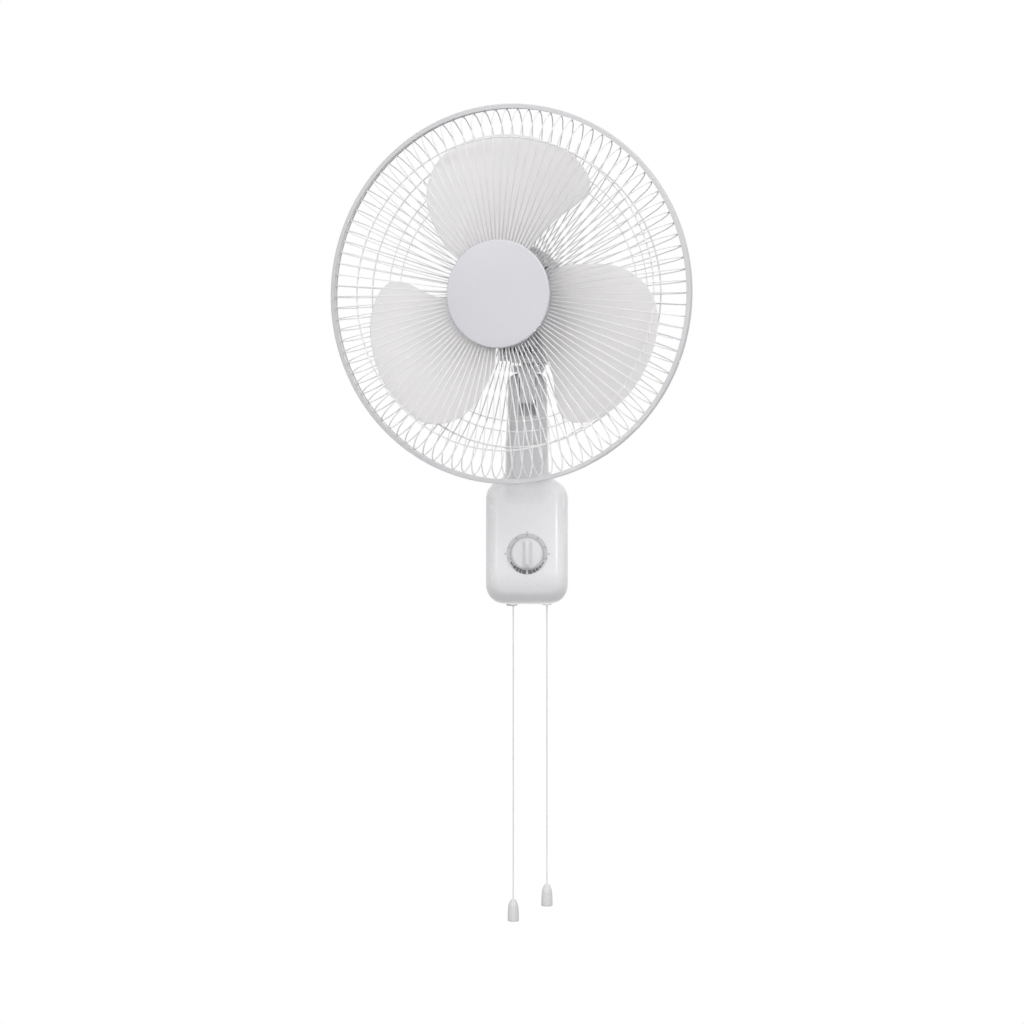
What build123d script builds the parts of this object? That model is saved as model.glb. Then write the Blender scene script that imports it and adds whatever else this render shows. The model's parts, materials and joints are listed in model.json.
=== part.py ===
from build123d import *
import os
from math import asin, atan2, cos, degrees, hypot, pi, radians, sin, sqrt

os.makedirs("parts", exist_ok=True)

# A wall mounted fan with a 400 mm class blade, two pull cords and a timer dial.
# Millimetres. The wall is the plane y = 0, the fan faces -Y, +Z is up and the origin is the
# centre of the wall bracket's four screw holes.

# ---------------------------------------------------------------- driving dimensions
# rest pose of the head, as it is stored
rest_tilt = 3.5             # degrees nose down about the tilt bolt
rest_swing = 18.0           # degrees towards -X about the upright post

# wall base
base_width = 102.0
base_height = 156.0
base_corner = 25.0          # corner radius seen from the front
base_edge = 16.0            # rounding from the front face to the sides
base_depth = 70.0           # wall to front face
base_wall = 2.5
wall_gap = 0.6              # rim of the back shell to the wall
part_line = 38.0            # wall to the seam between the two shells
panel_back = 9.0            # wall to the back shell's inner panel
panel_thick = 2.5
seam_gap = 0.1

# wall bracket
bracket_width = 76.0
bracket_height = 96.0
bracket_thick = 2.0
bracket_corner = 6.0
hole_span_x = 50.0
hole_span_z = 70.0
hole_radius = 2.5
hook_x = 20.0
hook_width = 14.0
hook_level = 30.0
hook_rise = 8.0
hook_clear = 0.3
lock_level = -28.0

# shell screws
shell_screw_x = 41.0
shell_screw_z = 44.0
boss_radius = 4.0
shank_radius = 1.5
screw_head_radius = 3.2
screw_head_height = 2.2

# timer dial
dial_level = -15.0
dial_outer = 25.4
dial_thick = 0.6
knob_radius = 19.5
knob_height = 5.0
grip_height = 8.0
grip_width = 7.0
knob_gap = 0.6              # knob back to dial plate
timer_width = 40.0
timer_depth = 22.0
timer_shaft_radius = 3.0
timer_bush_radius = 5.0

# pull cords and their switches
cord_radius = 0.8
cord_depth = 45.0           # wall to both cords
speed_x = -17.0
swing_x = 25.0
speed_bell_top = -447.0
swing_bell_top = -428.0
bell_height = 26.5
bell_top_radius = 3.6
bell_bottom_radius = 7.5
bell_wall = 1.2
knot_radius = 2.6
lever_rise = 16.0           # switch levers above the base's lower edge
pull_travel = 12.0
switch_width = 20.0
switch_depth = 22.0
switch_height = 22.0
lever_thick = 2.0
guide_radius = 4.0
guide_bore = 1.7
guide_flange = 5.5
guide_lip = 1.2

# electrical pieces in the base
gland_x = -19.0
gland_depth = 24.0
gland_bore = 3.6
gland_radius = 6.5
gland_groove = 5.2
capacitor_size = (34.0, 20.0, 26.0)
terminal_size = (34.0, 14.0, 12.0)

# neck
neck_foot = (-40.0, 62.0)   # y, z of the neck's foot on its centre line
neck_foot_width = 56.0
neck_foot_depth = 46.0
neck_top_width = 46.0
neck_top_depth = 38.0
neck_foot_corner = 14.0
neck_top_corner = 12.0
neck_wall = 3.0
neck_clear = 0.3
shoulder_radius = 14.0      # rounding of the two cheeks, seen from the front
cheek_radius = 19.5         # rounding of the cheeks about the tilt bolt
neck_screw_steps = (48.0, 96.0)

# tilt joint
hinge_y = -143.0
hinge_z = 184.0
tongue_width = 19.0
tongue_radius = 17.0
slot_gap = 0.5              # each side of the tongue
slot_depth = 24.0           # below the bolt, along the neck
bolt_radius = 4.0
bolt_clear = 0.06
hex_radius = 6.6
hex_height = 5.0
head_pocket = 6.5
pocket_radius = 8.0

# swing post
post_ahead = 10.0           # post axis in front of the tilt bolt
shoulder_low = 21.5         # flange of the tilt bracket above the bolt
shoulder_high = 33.0
flange_radius = 15.0
waist_low = 28.5            # the flange is waisted where the swing link passes
waist_high = 31.5
waist_radius = 8.0
post_radius = 9.0
post_top = 61.0
post_bore = 4.5
bush_wall = 2.0
bush_clear = 0.05
washer_thick = 0.8
washer_clear = 0.1
ring_thick = 1.2
motor_rise = 110.0          # tilt bolt to motor axis

# motor housing
housing_radius = 52.0
housing_wall = 2.2
housing_split = 16.0        # seam of the housing in front of the post axis
housing_front = 30.0
housing_back = -88.0
chin_width = 58.0
chin_bottom = -76.0         # below the motor axis
chin_back = -80.0
chin_corner = 10.0
vent_count = 24
spigot_radius = 19.0
spigot_bore = 13.0
spigot_length = 14.0

# motor
shaft_radius = 4.0
shaft_back = -62.0
shaft_front = 96.0
rotor_radius = 27.0
air_gap = 0.5
stator_radius = 42.0
stator_back = -36.0
stator_front = -2.0
coil_height = 10.0
front_disc_radius = 49.7
rear_disc_radius = 46.0
plate_run = 3.0             # thickness of the two end plates
bearing_radius = 8.0
bearing_length = 10.0
bearing_clear = 0.03

# swing drive
drive_x = -5.8
drive_back = -48.3
drive_radius = 20.0
drive_height = 14.0
crank_throw = 12.0
crank_turn = 348.3          # crank angle at rest, seen from above in the head's frame
link_length = 48.8
link_turn = 77.2
link_width = 6.0
link_thick = 1.6
link_knee_at = 38.0         # the link bends here, from its crank end, to pass the post
link_bow = 6.5              # and stands this far off its straight line
ear_x = 16.1
ear_ahead = 1.75
drive_pin_radius = 2.0
eye_radius = 5.3
eye_slack = 1.9             # room round the bracket's pin for the open pivot

# guards, measured from the hoop's plane along the motor axis
hoop_ahead = 79.0           # hoop plane in front of the post axis
hoop_radius = 220.0
hoop_wall = 1.6
hoop_lip = 214.1
rim_wire = 2.0              # radius of the two steel rims in the hoop
rim_offset = 2.4
rim_slack = 0.3
guard_wire = 0.8            # radius of the spokes
guard_count = 100
spoke_start = 212.8
front_rise = 17.9
front_shoulder = 14.0
front_peak = 31.0
front_inner = 48.0
front_ring_at = 180.0
rear_rise = 13.0
rear_shoulder = 10.0
rear_knee = 150.0
rear_knee_depth = 38.0
rear_knee_round = 20.0
rear_hub_depth = 46.0
rear_inner = 45.0
rear_ring_at = (177.5, 154.5, 144.5)
ring_wire = 1.0
weld_gap = 0.3
plate_inner = 19.6
plate_outer = 60.0
plate_thick = 1.5
guard_nut_radius = 30.0
guard_nut_thick = 8.0

# centre badge
badge_radius = 62.0
badge_skirt = 3.8
badge_edge = 36.0
badge_crown = 2.6
badge_wall = 2.0
clamp_radius = 50.0
clamp_thick = 2.5
badge_screw_at = 34.0

# propeller
blade_count = 3
hub_radius = 38.0
hub_back = 49.0
hub_front = 89.0
hub_wall = 2.5
blade_thick = 2.2
blade_middle = 76.0         # where the blade's middle lies along the motor axis
blade_pitch = 24.0          # advance per radian
blade_camber = 4.0
spinner_radius = 20.0
spinner_height = 10.0

# ---------------------------------------------------------------- frames
front_plane = Plane(origin=(0, 0, 0), x_dir=(1, 0, 0), z_dir=(0, -1, 0))
tilt_c, tilt_s = cos(radians(rest_tilt)), sin(radians(rest_tilt))
swing_c, swing_s = cos(radians(rest_swing)), sin(radians(rest_swing))
up_dir = (0, -tilt_s, tilt_c)
back_dir = (0, tilt_c, tilt_s)
right_dir = (swing_c, -swing_s * tilt_c, -swing_s * tilt_s)
ahead_dir = (-swing_s, -swing_c * tilt_c, -swing_c * tilt_s)

# tilt frame: x right, y back, z up from the bolt
tilt_plane = Plane(origin=(0, hinge_y, hinge_z), x_dir=(1, 0, 0), z_dir=up_dir)
pivot = tuple(o - post_ahead * b + motor_rise * u
              for o, b, u in zip((0, hinge_y, hinge_z), back_dir, up_dir))
# head frames, all from the point where the post axis meets the motor axis
swing_plane = Plane(origin=pivot, x_dir=right_dir, z_dir=up_dir)      # y points back
head_plane = Plane(origin=pivot, x_dir=right_dir, z_dir=ahead_dir)    # y points up
axial_plane = Plane(origin=pivot, x_dir=right_dir, z_dir=tuple(-u for u in up_dir))
motor_axis = Axis(pivot, ahead_dir)
side_plane = Plane.YZ

neck_run = (hinge_y - neck_foot[0], hinge_z - neck_foot[1])
neck_length = hypot(*neck_run)
neck_dir = (0, neck_run[0] / neck_length, neck_run[1] / neck_length)
neck_face = (0, -neck_dir[2], neck_dir[1])
neck_origin = (0, neck_foot[0], neck_foot[1])
neck_plane = Plane(origin=neck_origin, x_dir=(1, 0, 0), z_dir=neck_dir)
neck_seam = Plane(origin=neck_origin, x_dir=(1, 0, 0), z_dir=neck_face)


def save(piece, name):
    """Labels a finished sub-part and writes its STEP file."""
    piece.part.label = name
    export_step(piece.part, f"parts/{name}.step")


def base_block(start, grow, depth):
    """The base's outline grown by grow, from start to depth in front of the wall."""
    with BuildPart() as block:
        with BuildSketch(front_plane.offset(start)):
            RectangleRounded(base_width + 2 * grow, base_height + 2 * grow, base_corner + grow)
        extrude(amount=depth - start)
        fillet(block.faces().sort_by(Axis.Y)[0].edges(), base_edge + grow)
    return block.part


def neck_block(grow, start, end):
    """The neck's tapering body grown by grow, between two places along its centre line."""
    with BuildPart() as block:
        for place in (start, end):
            share = place / (neck_length + cheek_radius)
            width = neck_foot_width + share * (neck_top_width - neck_foot_width)
            depth = neck_foot_depth + share * (neck_top_depth - neck_foot_depth)
            corner = neck_foot_corner + share * (neck_top_corner - neck_foot_corner)
            with BuildSketch(neck_plane.offset(place)):
                RectangleRounded(width + 2 * grow, depth + 2 * grow, corner + grow)
        loft(ruled=True)
    return block.part


neck_hole = neck_block(neck_clear, -30.0, neck_length)

# ---------------------------------------------------------------- wall bracket
slot_top = hook_level + bracket_thick / 2 + hook_clear
tab_depth = panel_back + panel_thick + hook_clear + bracket_thick
lock_span = panel_back + panel_thick

with BuildPart() as wall_bracket:
    with BuildSketch(front_plane):
        RectangleRounded(bracket_width, bracket_height, bracket_corner)
        with GridLocations(hole_span_x, hole_span_z, 2, 2):
            Circle(hole_radius, mode=Mode.SUBTRACT)
        with Locations((0, lock_level)):
            Circle(shank_radius, mode=Mode.SUBTRACT)
    extrude(amount=bracket_thick)
    for side in (-1, 1):
        with BuildSketch(front_plane):
            with Locations((side * hook_x, hook_level)):
                Rectangle(hook_width, bracket_thick)
        extrude(amount=tab_depth)
        with BuildSketch(front_plane.offset(tab_depth - bracket_thick)):
            with Locations((side * hook_x, hook_level + hook_rise / 2)):
                Rectangle(hook_width, hook_rise + bracket_thick)
        extrude(amount=bracket_thick)
save(wall_bracket, "wall_bracket")

# ---------------------------------------------------------------- base shells
boss_places = [(sx * shell_screw_x, sz * shell_screw_z) for sx in (-1, 1) for sz in (-1, 1)]
slot_height = hook_rise + bracket_thick + 4.0

with BuildPart() as base_back_shell:
    with BuildSketch(front_plane.offset(wall_gap)):
        RectangleRounded(base_width, base_height, base_corner)
        RectangleRounded(base_width - 2 * base_wall, base_height - 2 * base_wall,
                         base_corner - base_wall, mode=Mode.SUBTRACT)
    extrude(amount=part_line - seam_gap - wall_gap)
    with BuildSketch(front_plane.offset(panel_back)):
        RectangleRounded(base_width - base_wall, base_height - base_wall, base_corner - base_wall)
    extrude(amount=panel_thick)
    with BuildSketch(front_plane.offset(panel_back)):
        with Locations((-hook_x, slot_top - slot_height / 2), (hook_x, slot_top - slot_height / 2)):
            Rectangle(hook_width + 2.0, slot_height)
        with Locations(*boss_places):
            Circle(shank_radius + 0.2)
        with Locations((0, lock_level)):
            Circle(shank_radius + 0.2)
    extrude(amount=panel_thick, mode=Mode.SUBTRACT)
    with BuildSketch(Plane.XY.offset(-base_height / 2 - 1.0)):
        with Locations((gland_x, -gland_depth)):
            Circle(gland_groove)
    extrude(amount=base_wall + 2.0, mode=Mode.SUBTRACT)
    add(neck_hole, mode=Mode.SUBTRACT)
save(base_back_shell, "base_back_shell")

cover_shell = base_block(part_line, 0.0, base_depth)
cover_hollow = base_block(part_line - base_wall, -base_wall, base_depth - base_wall)
boss_start = panel_back + panel_thick + seam_gap

with BuildPart() as base_front_cover:
    add(cover_shell)
    add(cover_hollow, mode=Mode.SUBTRACT)
    for place in boss_places:
        with BuildSketch(front_plane.offset(boss_start)):
            with Locations(place):
                Circle(boss_radius)
        extrude(amount=base_depth - base_wall / 2 - boss_start - base_wall / 2 + 0.6)
        with BuildSketch(front_plane.offset(boss_start)):
            with Locations(place):
                Circle(shank_radius)
        extrude(amount=20.0, mode=Mode.SUBTRACT)
    with BuildSketch(front_plane.offset(base_depth - 2 * base_wall)):
        with Locations((0, dial_level)):
            Circle(timer_bush_radius + 0.3)
    extrude(amount=3 * base_wall, mode=Mode.SUBTRACT)
    with BuildSketch(Plane.XY.offset(-base_height / 2 - 1.0)):
        with Locations((speed_x, -cord_depth), (swing_x, -cord_depth)):
            Circle(guide_radius)
    extrude(amount=base_wall + 2.0, mode=Mode.SUBTRACT)
    with BuildSketch(Plane.XY.offset(-base_height / 2 + base_wall)):
        with Locations((speed_x, -cord_depth), (swing_x, -cord_depth)):
            Circle(guide_flange + 0.1)
    extrude(amount=guide_lip, mode=Mode.SUBTRACT)
    add(neck_hole, mode=Mode.SUBTRACT)
save(base_front_cover, "base_front_cover")

with BuildPart() as base_screws:
    with BuildSketch(front_plane.offset(panel_back - screw_head_height)):
        with Locations(*boss_places):
            Circle(screw_head_radius)
    extrude(amount=screw_head_height)
    with BuildSketch(front_plane.offset(panel_back)):
        with Locations(*boss_places):
            Circle(shank_radius)
    extrude(amount=panel_thick + 14.0)
save(base_screws, "base_screws")

with BuildPart() as bracket_lock_screw:
    with BuildSketch(front_plane.offset(lock_span)):
        with Locations((0, lock_level)):
            Circle(screw_head_radius)
    extrude(amount=screw_head_height)
    with BuildSketch(front_plane):
        with Locations((0, lock_level)):
            Circle(shank_radius)
    extrude(amount=lock_span)
save(bracket_lock_screw, "bracket_lock_screw")

# ---------------------------------------------------------------- timer and dial
cover_inside = base_depth - base_wall
timer_back = cover_inside - 0.2 - timer_depth
knob_back = base_depth + dial_thick + knob_gap

with BuildPart() as dial_plate:
    with BuildSketch(front_plane.offset(base_depth)):
        with Locations((0, dial_level)):
            Circle(dial_outer)
            Circle(timer_bush_radius + 0.3, mode=Mode.SUBTRACT)
    extrude(amount=dial_thick)
save(dial_plate, "dial_plate")

with BuildPart() as timer_unit:
    with BuildSketch(front_plane.offset(timer_back)):
        with Locations((0, dial_level)):
            RectangleRounded(timer_width, timer_width, 4.0)
    extrude(amount=timer_depth)
    with BuildSketch(front_plane.offset(timer_back + timer_depth)):
        with Locations((0, dial_level)):
            Circle(timer_bush_radius)
    extrude(amount=base_wall + 0.2)
    with BuildSketch(front_plane.offset(timer_back + 4.0)):
        with Locations((0, dial_level)):
            Circle(timer_shaft_radius + bush_clear)
    extrude(amount=timer_depth + base_wall, mode=Mode.SUBTRACT)
    with BuildSketch(front_plane.offset(timer_back - 5.0)):
        with GridLocations(8.0, 12.0, 3, 2):
            with Locations((0, dial_level)):
                Rectangle(0.8, 4.0)
    extrude(amount=6.0)
save(timer_unit, "timer_unit")

with BuildPart() as timer_shaft:
    with BuildSketch(front_plane.offset(timer_back + 4.2)):
        with Locations((0, dial_level)):
            Circle(timer_shaft_radius)
    extrude(amount=knob_back + knob_height - timer_back - 4.2)
save(timer_shaft, "timer_shaft")

with BuildPart() as timer_knob:
    with BuildSketch(front_plane.offset(knob_back)):
        with Locations((0, dial_level)):
            Circle(knob_radius)
    extrude(amount=knob_height)
    fillet(timer_knob.faces().sort_by(Axis.Y)[0].edges(), 2.0)
    with BuildSketch(front_plane.offset(knob_back + knob_height - 0.5)):
        with Locations((0, dial_level)):
            SlotOverall(2 * knob_radius - 5.0, grip_width, rotation=90)
    extrude(amount=grip_height + 0.5, taper=4)
    with BuildSketch(front_plane.offset(knob_back)):
        with Locations((0, dial_level)):
            Circle(timer_shaft_radius + 0.02)
    extrude(amount=knob_height + 0.2, mode=Mode.SUBTRACT)
save(timer_knob, "timer_knob")

# ---------------------------------------------------------------- pull switches and cords
lever_level = lever_rise - base_height / 2
switch_base = lever_level + lever_thick + 0.3


def pull_switch(x):
    """Body of one pull switch, on the back panel above its lever."""
    back = panel_back + panel_thick
    with BuildPart() as switch:
        with BuildSketch(Plane.XY.offset(switch_base)):
            with Locations((x, -cord_depth)):
                Rectangle(switch_width, switch_depth)
        extrude(amount=switch_height)
        with BuildSketch(Plane.XY.offset(switch_base + 6.0)):
            with Locations((x, -(back + cord_depth) / 2)):
                Rectangle(switch_width - 6.0, cord_depth - back)
        extrude(amount=6.0)
        with BuildSketch(Plane.XY.offset(switch_base)):
            with Locations((x, -cord_depth)):
                Circle(2.2)
        extrude(amount=14.0, mode=Mode.SUBTRACT)
    return switch


def pull_lever(x):
    """Plunger that the cord is tied to, in the bore of its switch."""
    with BuildPart() as lever:
        with BuildSketch(Plane.XY.offset(lever_level)):
            with Locations((x, -cord_depth)):
                Circle(5.0)
        extrude(amount=lever_thick)
        with BuildSketch(Plane.XY.offset(lever_level + lever_thick)):
            with Locations((x, -cord_depth)):
                Circle(2.2 - bush_clear)
        extrude(amount=13.0)
    return lever


def pull_cord(x, bell_top):
    """Straight cord from the plunger's foot to the knot in the bell."""
    with BuildPart() as cord:
        with BuildSketch(Plane.XY.offset(bell_top - bell_wall)):
            with Locations((x, -cord_depth)):
                Circle(cord_radius)
        extrude(amount=lever_level - bell_top + bell_wall)
    return cord


def pull_knot(x, bell_top):
    """Knot under the bell's roof that holds the bell on the cord."""
    with BuildPart() as knot:
        with Locations((x, -cord_depth, bell_top - bell_wall - knot_radius)):
            Sphere(knot_radius)
        with BuildSketch(Plane.XY.offset(bell_top - bell_wall - 0.6)):
            with Locations((x, -cord_depth)):
                Circle(cord_radius + 0.6)
        extrude(amount=0.6)
    return knot


def pull_bell(x, bell_top):
    """Hollow bell, narrow at the top and rounded into its mouth."""
    low = bell_top - bell_height
    axis_plane = Plane(origin=(x, -cord_depth, 0), x_dir=(1, 0, 0), z_dir=(0, -1, 0))
    with BuildPart() as bell:
        with BuildSketch(axis_plane):
            with BuildLine():
                Polyline((cord_radius, bell_top), (bell_top_radius, bell_top))
                Spline((bell_top_radius, bell_top), (bell_top_radius + 1.5, bell_top - 0.35 * bell_height),
                       (bell_bottom_radius, low + 2.0))
                Line((bell_bottom_radius, low + 2.0), (bell_bottom_radius - 0.4, low))
                Line((bell_bottom_radius - 0.4, low), (bell_bottom_radius - bell_wall, low))
                Spline((bell_bottom_radius - bell_wall, low),
                       (bell_top_radius + 1.5 - bell_wall, bell_top - 0.4 * bell_height),
                       (bell_top_radius - 0.4, bell_top - bell_wall))
                Polyline((bell_top_radius - 0.4, bell_top - bell_wall),
                         (cord_radius, bell_top - bell_wall), (cord_radius, bell_top))
            make_face()
        revolve(axis=Axis((x, -cord_depth, 0), (0, 0, 1)))
    return bell


pulls = (("speed", speed_x, speed_bell_top), ("swing", swing_x, swing_bell_top))
for pull, cord_x, bell_level in pulls:
    save(pull_switch(cord_x), f"{pull}_switch")
    save(pull_lever(cord_x), f"{pull}_plunger")
    save(pull_cord(cord_x, bell_level), f"{pull}_cord")
    save(pull_knot(cord_x, bell_level), f"{pull}_cord_knot")
    save(pull_bell(cord_x, bell_level), f"{pull}_pull_bell")

floor_inside = -base_height / 2 + base_wall

with BuildPart() as cord_guides:
    for cord_x in (speed_x, swing_x):
        with BuildSketch(Plane.XY.offset(-base_height / 2)):
            with Locations((cord_x, -cord_depth)):
                Circle(guide_radius - 0.1)
        extrude(amount=base_wall)
        for level in (-base_height / 2 - guide_lip, floor_inside):
            with BuildSketch(Plane.XY.offset(level)):
                with Locations((cord_x, -cord_depth)):
                    Circle(guide_flange)
            extrude(amount=guide_lip)
        with BuildSketch(Plane.XY.offset(-base_height / 2 - guide_lip)):
            with Locations((cord_x, -cord_depth)):
                Circle(guide_bore)
        extrude(amount=base_wall + 2 * guide_lip, mode=Mode.SUBTRACT)
save(cord_guides, "cord_guides")

# ---------------------------------------------------------------- wiring pieces in the base
gland_low = -base_height / 2 - 3.0
gland_length = base_wall + 6.0

with BuildPart() as mains_gland:
    with BuildSketch(Plane.XY.offset(gland_low)):
        with Locations((gland_x, -gland_depth)):
            Circle(gland_radius)
    extrude(amount=3.0)
    with BuildSketch(Plane.XY.offset(-base_height / 2)):
        with Locations((gland_x, -gland_depth)):
            Circle(gland_groove - 0.1)
    extrude(amount=base_wall)
    with BuildSketch(Plane.XY.offset(floor_inside)):
        with Locations((gland_x, -gland_depth)):
            Circle(gland_radius)
    extrude(amount=3.0)
    with BuildSketch(Plane.XY.offset(gland_low)):
        with Locations((gland_x, -gland_depth)):
            Circle(gland_bore)
    extrude(amount=gland_length, mode=Mode.SUBTRACT)
save(mains_gland, "mains_gland")

panel_front = panel_back + panel_thick
with BuildPart() as run_capacitor:
    with BuildSketch(front_plane.offset(panel_front)):
        with Locations((16.0, 10.0)):
            RectangleRounded(capacitor_size[0], capacitor_size[2], 2.0)
    extrude(amount=capacitor_size[1])
    fillet(run_capacitor.faces().sort_by(Axis.Y)[0].edges(), 1.0)
save(run_capacitor, "run_capacitor")

with BuildPart() as terminal_block:
    with BuildSketch(front_plane.offset(panel_front)):
        with Locations((-19.0, 12.0)):
            Rectangle(terminal_size[0], terminal_size[2])
    extrude(amount=terminal_size[1])
    with BuildSketch(front_plane.offset(panel_front + 4.0)):
        with Locations((-19.0, 12.0)):
            with GridLocations(8.0, 0, 4, 1):
                Circle(2.2)
    extrude(amount=terminal_size[1], mode=Mode.SUBTRACT)
save(terminal_block, "terminal_block")

# ---------------------------------------------------------------- neck
neck_hollow = neck_block(-neck_wall, -1.0, neck_length - slot_depth - 4.0)
with BuildPart() as cheek_outline:
    with BuildSketch(side_plane.offset(-neck_foot_width)):
        with BuildLine():
            reach = 3 * cheek_radius
            foot = Vector(neck_foot[0], neck_foot[1])
            run = Vector(neck_dir[1], neck_dir[2])
            across = Vector(neck_face[1], neck_face[2])
            top = Vector(hinge_y, hinge_z)
            Polyline(foot - run * 40 - across * reach, foot - run * 40 + across * reach,
                     top + across * reach, top - across * reach, close=True)
        make_face()
        with Locations((hinge_y, hinge_z)):
            Circle(cheek_radius)
    extrude(amount=2 * neck_foot_width)
with BuildPart() as shoulder_outline:
    with BuildSketch(front_plane.offset(-20.0)) as shoulder_sketch:
        with BuildLine():
            half = neck_top_width / 2 + 0.4
            crest = hinge_z + cheek_radius + 0.4
            Polyline((-neck_foot_width, 0), (neck_foot_width, 0), (neck_foot_width, hinge_z - 40.0),
                     (half, hinge_z - 12.0), (half, crest), (-half, crest), (-half, hinge_z - 12.0),
                     (-neck_foot_width, hinge_z - 40.0), close=True)
        make_face()
        fillet(shoulder_sketch.vertices().group_by(Axis.Z)[-1], shoulder_radius)
    extrude(amount=240.0)

slot_half = tongue_width / 2 + slot_gap
with BuildPart() as neck_body:
    add(neck_block(0.0, 0.0, neck_length + cheek_radius + 2.0))
    add(cheek_outline.part, mode=Mode.INTERSECT)
    add(shoulder_outline.part, mode=Mode.INTERSECT)
    add(neck_hollow, mode=Mode.SUBTRACT)
    with BuildSketch(neck_plane.offset(neck_length - slot_depth)):
        Rectangle(2 * slot_half, 3 * cheek_radius)
    extrude(amount=slot_depth + 2 * cheek_radius, mode=Mode.SUBTRACT)
    with BuildSketch(side_plane.offset(-neck_top_width)):
        with Locations((hinge_y, hinge_z)):
            Circle(bolt_radius)
    extrude(amount=2 * neck_top_width, mode=Mode.SUBTRACT)
    for side in (-1, 1):
        with BuildSketch(side_plane.offset(side * (neck_top_width / 2 - head_pocket))):
            with Locations((hinge_y, hinge_z)):
                Circle(pocket_radius)
        extrude(amount=side * 3 * head_pocket, mode=Mode.SUBTRACT)


def neck_half_depth(step):
    """Half of the neck's outer depth at a place along its centre line."""
    share = step / (neck_length + cheek_radius)
    return (neck_foot_depth + share * (neck_top_depth - neck_foot_depth)) / 2


with BuildPart() as neck_front_shell:
    add(neck_body.part)
    split(bisect_by=neck_seam.offset(seam_gap / 2), keep=Keep.TOP)
    for step in neck_screw_steps:
        with BuildSketch(neck_seam.offset(seam_gap / 2)):
            with Locations((0, step)):
                Circle(boss_radius)
        extrude(amount=neck_half_depth(step) - neck_wall / 2)
        with BuildSketch(neck_seam.offset(seam_gap / 2)):
            with Locations((0, step)):
                Circle(shank_radius)
        extrude(amount=neck_half_depth(step) - neck_wall - 2.0, mode=Mode.SUBTRACT)
save(neck_front_shell, "neck_front_shell")

head_seat = 8.0
with BuildPart() as neck_rear_shell:
    add(neck_body.part)
    split(bisect_by=neck_seam.offset(-seam_gap / 2), keep=Keep.BOTTOM)
    for step in neck_screw_steps:
        with BuildSketch(neck_seam.offset(-seam_gap / 2)):
            with Locations((0, step)):
                Circle(boss_radius + 1.5)
        extrude(amount=-(neck_half_depth(step) - neck_wall / 2))
        with BuildSketch(neck_seam.offset(-seam_gap / 2)):
            with Locations((0, step)):
                Circle(shank_radius + 0.2)
        extrude(amount=-2 * neck_foot_depth, mode=Mode.SUBTRACT)
        with BuildSketch(neck_seam.offset(-head_seat)):
            with Locations((0, step)):
                Circle(screw_head_radius + 0.3)
        extrude(amount=-2 * neck_foot_depth, mode=Mode.SUBTRACT)
save(neck_rear_shell, "neck_rear_shell")

with BuildPart() as neck_screws:
    for step in neck_screw_steps:
        with BuildSketch(neck_seam.offset(-head_seat - screw_head_height)):
            with Locations((0, step)):
                Circle(screw_head_radius)
        extrude(amount=screw_head_height)
        with BuildSketch(neck_seam.offset(-head_seat)):
            with Locations((0, step)):
                Circle(shank_radius)
        extrude(amount=head_seat + neck_half_depth(step) - neck_wall - 3.0)
save(neck_screws, "neck_screws")

# ---------------------------------------------------------------- tilt bolt
pocket_floor = neck_top_width / 2 - head_pocket
with BuildPart() as tilt_bolt:
    with BuildSketch(side_plane.offset(-pocket_floor - hex_height)):
        with Locations((hinge_y, hinge_z)):
            RegularPolygon(hex_radius, 6)
    extrude(amount=hex_height)
    with BuildSketch(side_plane.offset(-pocket_floor)):
        with Locations((hinge_y, hinge_z)):
            Circle(bolt_radius)
    extrude(amount=2 * pocket_floor + hex_height)
save(tilt_bolt, "tilt_bolt")

with BuildPart() as tilt_nut:
    with BuildSketch(side_plane.offset(pocket_floor)):
        with Locations((hinge_y, hinge_z)):
            RegularPolygon(hex_radius, 6)
            Circle(bolt_radius, mode=Mode.SUBTRACT)
    extrude(amount=hex_height)
save(tilt_nut, "tilt_nut")

with BuildPart() as tilt_friction_washers:
    for start in (-slot_half + 0.03, tongue_width / 2):
        with BuildSketch(side_plane.offset(start)):
            with Locations((hinge_y, hinge_z)):
                Circle(tongue_radius - 2.0)
                Circle(bolt_radius + bolt_clear, mode=Mode.SUBTRACT)
        extrude(amount=slot_gap - 0.03)
save(tilt_friction_washers, "tilt_friction_washers")

# ---------------------------------------------------------------- tilt bracket with its post
tilt_side = Plane(origin=(0, hinge_y, hinge_z), x_dir=back_dir, z_dir=(1, 0, 0))
ear_top = waist_high - 0.2

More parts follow.
